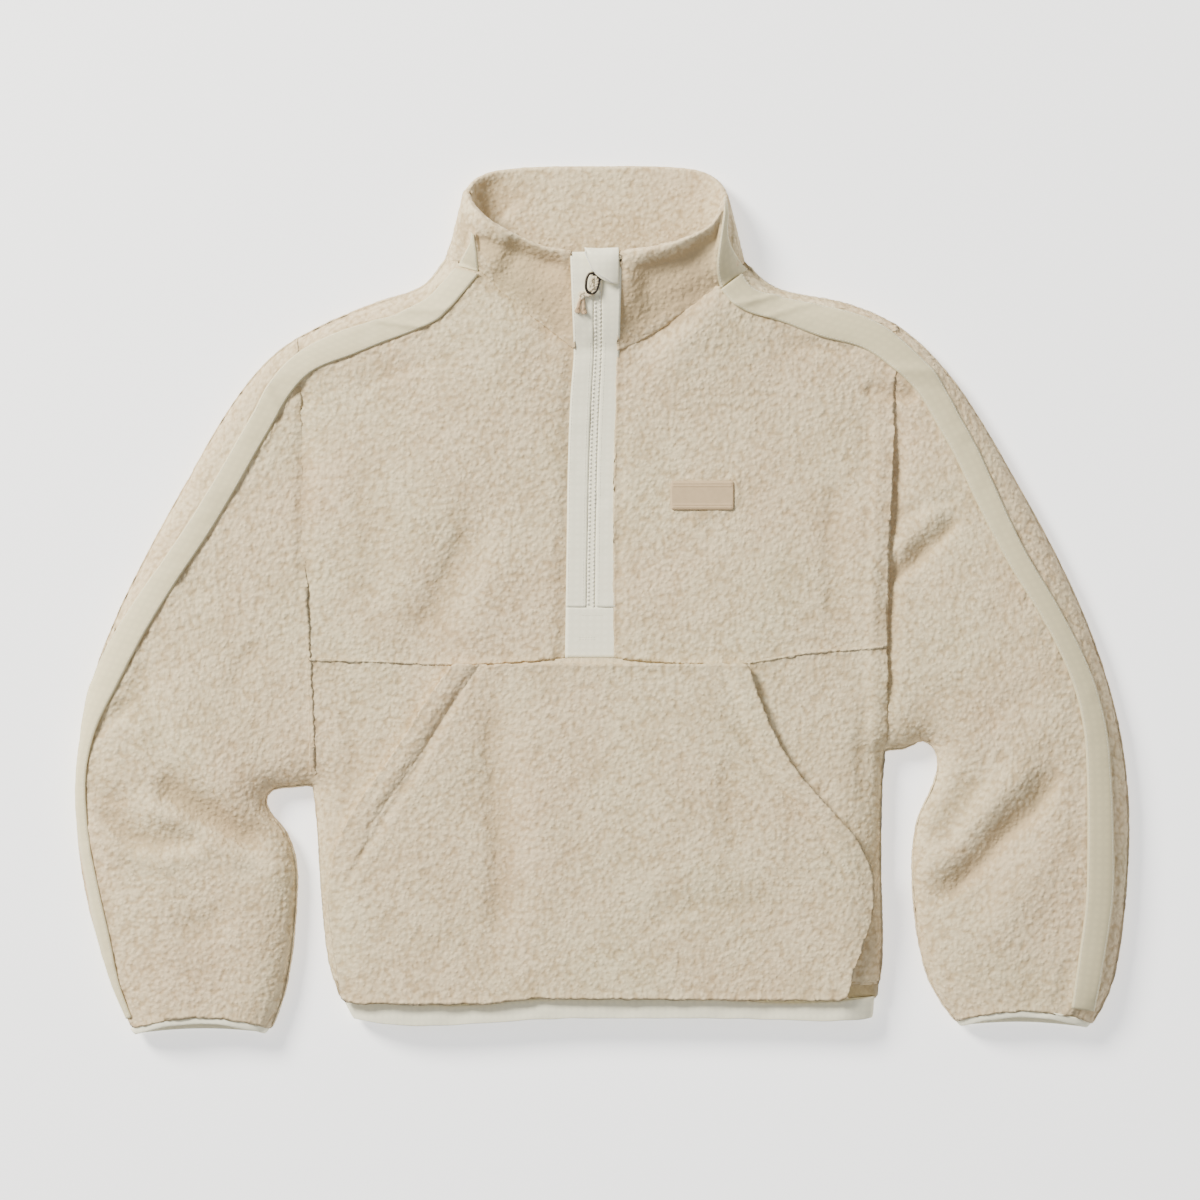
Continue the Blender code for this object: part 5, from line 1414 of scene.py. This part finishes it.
class PULLOVER_OT_stage(Making, bpy.types.Operator):
    """Adds the camera, the lights and the floor"""

    bl_idname = "pullover.stage"
    bl_label = "Stage"

    def execute(self, context):
        stage = context.scene.pullover_stage
        eye = bpy.data.cameras.new("Camera")
        camera = bpy.data.objects.new("Camera", eye)
        context.collection.objects.link(camera)
        garment_height = 0.022
        camera.location = (0.0, 0.0, stage.camera_height + garment_height)
        eye.type = "PERSP"
        eye.sensor_width = 36.0
        eye.lens = 36.0 * stage.camera_height / stage.view
        eye.clip_end = 100.0
        context.scene.camera = camera
        self.lamp("Key", (-3.4, 3.0, 3.1), 1.9, 760.0, "#FFFCF5")
        self.lamp("Fill", (1.8, -1.2, 2.6), 2.2, 16.0, "#F8FAFF")
        self.lamp("Overhead", (0.0, 0.2, 3.4), 2.4, 16.0, "#FFFFFF")
        self.world(context)
        self.floor()
        return {"FINISHED"}

    def lamp(self, name, place, size, power, hex_colour):
        lamp = bpy.data.lights.new(name, "AREA")
        lamp.shape = "DISK"
        lamp.size = size
        lamp.energy = power
        lamp.color = linear(hex_colour)
        holder = bpy.data.objects.new(name, lamp)
        bpy.context.collection.objects.link(holder)
        holder.location = place
        holder.rotation_euler = (-Vector(place)).to_track_quat("-Z", "Y").to_euler()

    def world(self, context):
        world = bpy.data.worlds.new("Studio")
        world.use_nodes = True
        context.scene.world = world
        ground = world.node_tree.nodes["Background"]
        ground.inputs["Color"].default_value = rgba(linear("#FAFAFA"))
        ground.inputs["Strength"].default_value = 0.3

    def floor(self):
        deselect()
        bpy.ops.mesh.primitive_plane_add(size=12.0)
        floor = bpy.context.object
        floor.name = "Floor"
        surface, *_ = shader_of(
            "Matt white board", Roughness=0.9, Base_Color=rgba(linear("#FCFCFC")),
            Emission_Color=rgba(linear("#FFFFFF")), Emission_Strength=1.0,
        )
        floor.data.materials.append(surface)


class PULLOVER_OT_body(Making, bpy.types.Operator):
    """Makes the fleece body: both fronts, the lower front, the back and the pocket"""

    bl_idname = "pullover.body"
    bl_label = "Body"

    def execute(self, context):
        furred("front_left", "up", ["tape_left", "tape_left_collar"])
        furred("front_right", "up", ["tape_right", "tape_right_collar", "label"])
        furred("front_lower", "up", ["pocket"])
        furred("pocket", "up")
        furred("back", "down", ["tape_left", "tape_right"], resting=True)
        return {"FINISHED"}


class PULLOVER_OT_sleeves(Making, bpy.types.Operator):
    """Makes the fleece sleeves, front and back"""

    bl_idname = "pullover.sleeves"
    bl_label = "Sleeves"

    def execute(self, context):
        for side in ("left", "right"):
            covers = [f"tape_{side}"]
            furred(f"sleeve_{side}_front", "up", covers)
            furred(f"sleeve_{side}_back", "down", covers, resting=True)
        return {"FINISHED"}


class PULLOVER_OT_collar(Making, bpy.types.Operator):
    """Makes the standing collar's three pieces"""

    bl_idname = "pullover.collar"
    bl_label = "Collar"

    def execute(self, context):
        furred("collar_left", "both", ["tape_left_collar"], level=2)
        furred("collar_right", "both", ["tape_right_collar"], level=2)
        furred("collar_back", "both", ["tape_left_collar", "tape_right_collar"], level=2)
        return {"FINISHED"}


class PULLOVER_OT_tapes(Making, bpy.types.Operator):
    """Lays the shoulder and collar tapes and sews them down"""

    bl_idname = "pullover.tapes"
    bl_label = "Shoulder tapes"

    def execute(self, context):
        sewing = context.scene.pullover_sewing
        for side in ("left", "right"):
            lines = []
            for node in (f"tape_{side}", f"tape_{side}_collar"):
                top, normals = tape(
                    node, f"woven_{node}", "shoulder_tape", turned=0.6 * MM, pucker=0.35 * MM
                )
                for inset in (sewing.inset, -sewing.inset):
                    lines.append(line_across(top, normals, inset))
            finish(sewn(f"stitches_tape_{side}", lines), "garment")
        return {"FINISHED"}


class PULLOVER_OT_bands(Making, bpy.types.Operator):
    """Makes the hem band and the bound cuffs"""

    bl_idname = "pullover.bands"
    bl_label = "Bands"

    def execute(self, context):
        for node in ("hem_band", "cuff_binding_left", "cuff_binding_right"):
            banded(node)
        return {"FINISHED"}


class PULLOVER_OT_zip(Making, bpy.types.Operator):
    """Makes the zip's tapes, teeth and guard, and finishes the slider"""

    bl_idname = "pullover.zip"
    bl_label = "Zip"

    def execute(self, context):
        lines = []
        for side, inner, wider in (
            ("left", -1, (0.3, 0.3, 0.9, 0.2)), ("right", 1, (0.3, 0.3, 0.2, 0.9))
        ):
            top, normals = tape(
                f"zip_placket_{side}", f"woven_placket_{side}", "white_tape", 1.9 * MM,
                pucker=0.3 * MM, wider=wider, rise=0.4 * MM,
            )
            chosen = top[:, 0, 1] < INNER_ROW_TOP
            along, out = line_across(top, normals, inner * 3.0 * MM)
            lines.append((along[chosen], out[chosen]))
            lines.append(line_across(top, normals, -inner * 1.6 * MM))
        top, normals = tape(
            "zip_placket_foot", "woven_placket_foot", "white_tape", 1.9 * MM,
            wider=(0.9, 0.9, 0.9, 0.9), rise=0.3 * MM,
        )
        for y, start, end in FOOT_ROWS:
            lines.append(row_on(top, normals, y * MM, start * MM, end * MM))
        finish(sewn("stitches_placket", lines), "garment")
        self.guard()
        self.chain()
        cad("zip_slider").data.materials.clear()
        cad("zip_slider").data.materials.append(material("metal"))
        return {"FINISHED"}

    def guard(self):
        """The guard over the slider, with a thin cord sewn into its free edge."""
        banded("chin_guard")
        form = quads_of("chin_guard")
        tree = skin_tree(form, outer_skin(form, 1))
        form.free()
        line = spline([(x * MM, y * MM, 0.052) for x, y in GUARD_EDGE], 40)
        edge = np.array([tree.find_nearest(Vector(p))[0][:] for p in line])
        edge = eased(edge[:, None].repeat(3, axis=1), 4)[:, 1]
        mesh = tube_mesh("guard_piping", [edge], 0.55 * MM, 8)
        finish(new_piece("guard_piping", mesh, "thread"), "garment")

    def chain(self):
        """The zip's own tape, and moulded teeth from both sides that hook into each other."""
        grid = eased(strip_grid("zip_chain", 1.5 * MM), 4)
        grid, normals = left_first(grid, grid_normals(grid))
        base = grid - normals * 0.8 * MM
        u, v = lengths_over(grid)
        mesh = sheet_mesh("woven_zip_tape", base, base - normals * 0.6 * MM, u, v)
        piece = new_piece("woven_zip_tape", mesh, "white_tape")
        finish(piece, "garment", ["zip_chain"])
        spots = along_line(*line_across(grid, normals, u[:, -1].mean() / 2), TOOTH_PITCH)
        teeth = copies("moulded_teeth", *tooth_shape(), spots, "teeth", alternate=True)
        finish(teeth, "garment")


class PULLOVER_OT_pull(Making, bpy.types.Operator):
    """Ties the twisted cord through the pull ring"""

    bl_idname = "pullover.pull"
    bl_label = "Pull cord"

    def execute(self, context):
        ground = tape_plane()
        loop = spline(lifted(CORD_LOOP, ground), 60)
        turns = path_length(loop) / (4.2 * MM)
        strands = twisted(loop, 2, 0.8 * MM, turns)
        strands += twisted(knot_path(ground), 2, 0.6 * MM, 9.0)
        mesh = tube_mesh("twisted_cord", strands, 0.88 * MM, 8)
        cord = new_piece("twisted_cord", mesh, "cord")
        line = [(x * MM, y * MM, RING_HEIGHT * MM) for x, y in [*RING, RING[0]]]
        mesh = tube_mesh("wire_ring", [spline(line, 60)], 1.1 * MM, 10)
        wire = new_piece("wire_ring", mesh, "metal")
        finish(wire, "pull", ["pull_ring"])
        finish(cord, "pull", ["pull_cord"])
        fibres = []
        for tail in CORD_TAILS:
            path = spline(lifted(tail, ground), 24)
            fibres += twisted(path, 9, 0.8 * MM, 1.3, spread=2.4)
        ends = new_piece("cord_ends", tube_mesh("cord_ends", fibres, 0.42 * MM, 6), "tail")
        finish(ends, "pull")
        return {"FINISHED"}


class PULLOVER_OT_label(Making, bpy.types.Operator):
    """Makes the bare label, with two raised lines along its top and its bottom"""

    bl_idname = "pullover.label"
    bl_label = "Label"

    def execute(self, context):
        grid = eased(strip_grid("label", 0.7 * MM), 4)
        normals = grid_normals(grid)
        u, v = lengths_over(grid)
        wide, tall = u[:, -1:].mean(), v[-1].mean()
        across = np.minimum(u, wide - u)
        along = np.minimum(v, tall - v)
        lines = sum(bell(across - at * MM, 0.4 * MM) for at in (2.2, 4.0))
        ends = rising(along, 1.2 * MM, 2.0 * MM)
        edge = rising(np.minimum(across, along), 0.0, 0.8 * MM)
        lift = 0.7 * MM * lines * ends - 0.5 * MM * (1 - edge) - 0.5 * MM
        top = rounded_corners(grid, across, along, 2.6 * MM) + normals * lift[..., None]
        mesh = sheet_mesh("pressed_label", top, top - normals * 1.0 * MM, u, v)
        finish(new_piece("pressed_label", mesh, "label"), "garment", ["label"])
        return {"FINISHED"}


class PULLOVER_PT_panel(bpy.types.Panel):
    """Lists the pullover's pieces in the order they are made"""

    bl_idname = "PULLOVER_PT_panel"
    bl_label = "Half-zip pullover"
    bl_space_type = "VIEW_3D"
    bl_region_type = "UI"
    bl_category = "Pullover"

    def draw(self, context):
        for name, group in PANEL_GROUPS.items():
            box = self.layout.box()
            for key in group.__annotations__:
                box.prop(getattr(context.scene, name), key)
        for operator in OPERATORS:
            self.layout.operator(operator.bl_idname)


OPERATORS = (
    PULLOVER_OT_stage,
    PULLOVER_OT_pull,
    PULLOVER_OT_body,
    PULLOVER_OT_sleeves,
    PULLOVER_OT_collar,
    PULLOVER_OT_tapes,
    PULLOVER_OT_bands,
    PULLOVER_OT_zip,
    PULLOVER_OT_label,
)
CLASSES = (*PANEL_GROUPS.values(), *OPERATORS, PULLOVER_PT_panel)


def register():
    for each in CLASSES:
        bpy.utils.register_class(each)
    for name, group in PANEL_GROUPS.items():
        setattr(bpy.types.Scene, name, PointerProperty(type=group))


def unregister():
    for name in PANEL_GROUPS:
        delattr(bpy.types.Scene, name)
    for each in reversed(CLASSES):
        bpy.utils.unregister_class(each)


def main():
    register()
    for operator in OPERATORS:
        group, name = operator.bl_idname.split(".")
        getattr(getattr(bpy.ops, group), name)()
    declare_sheets()
    bpy.context.view_layer.update()


if __name__ == "__main__":
    main()
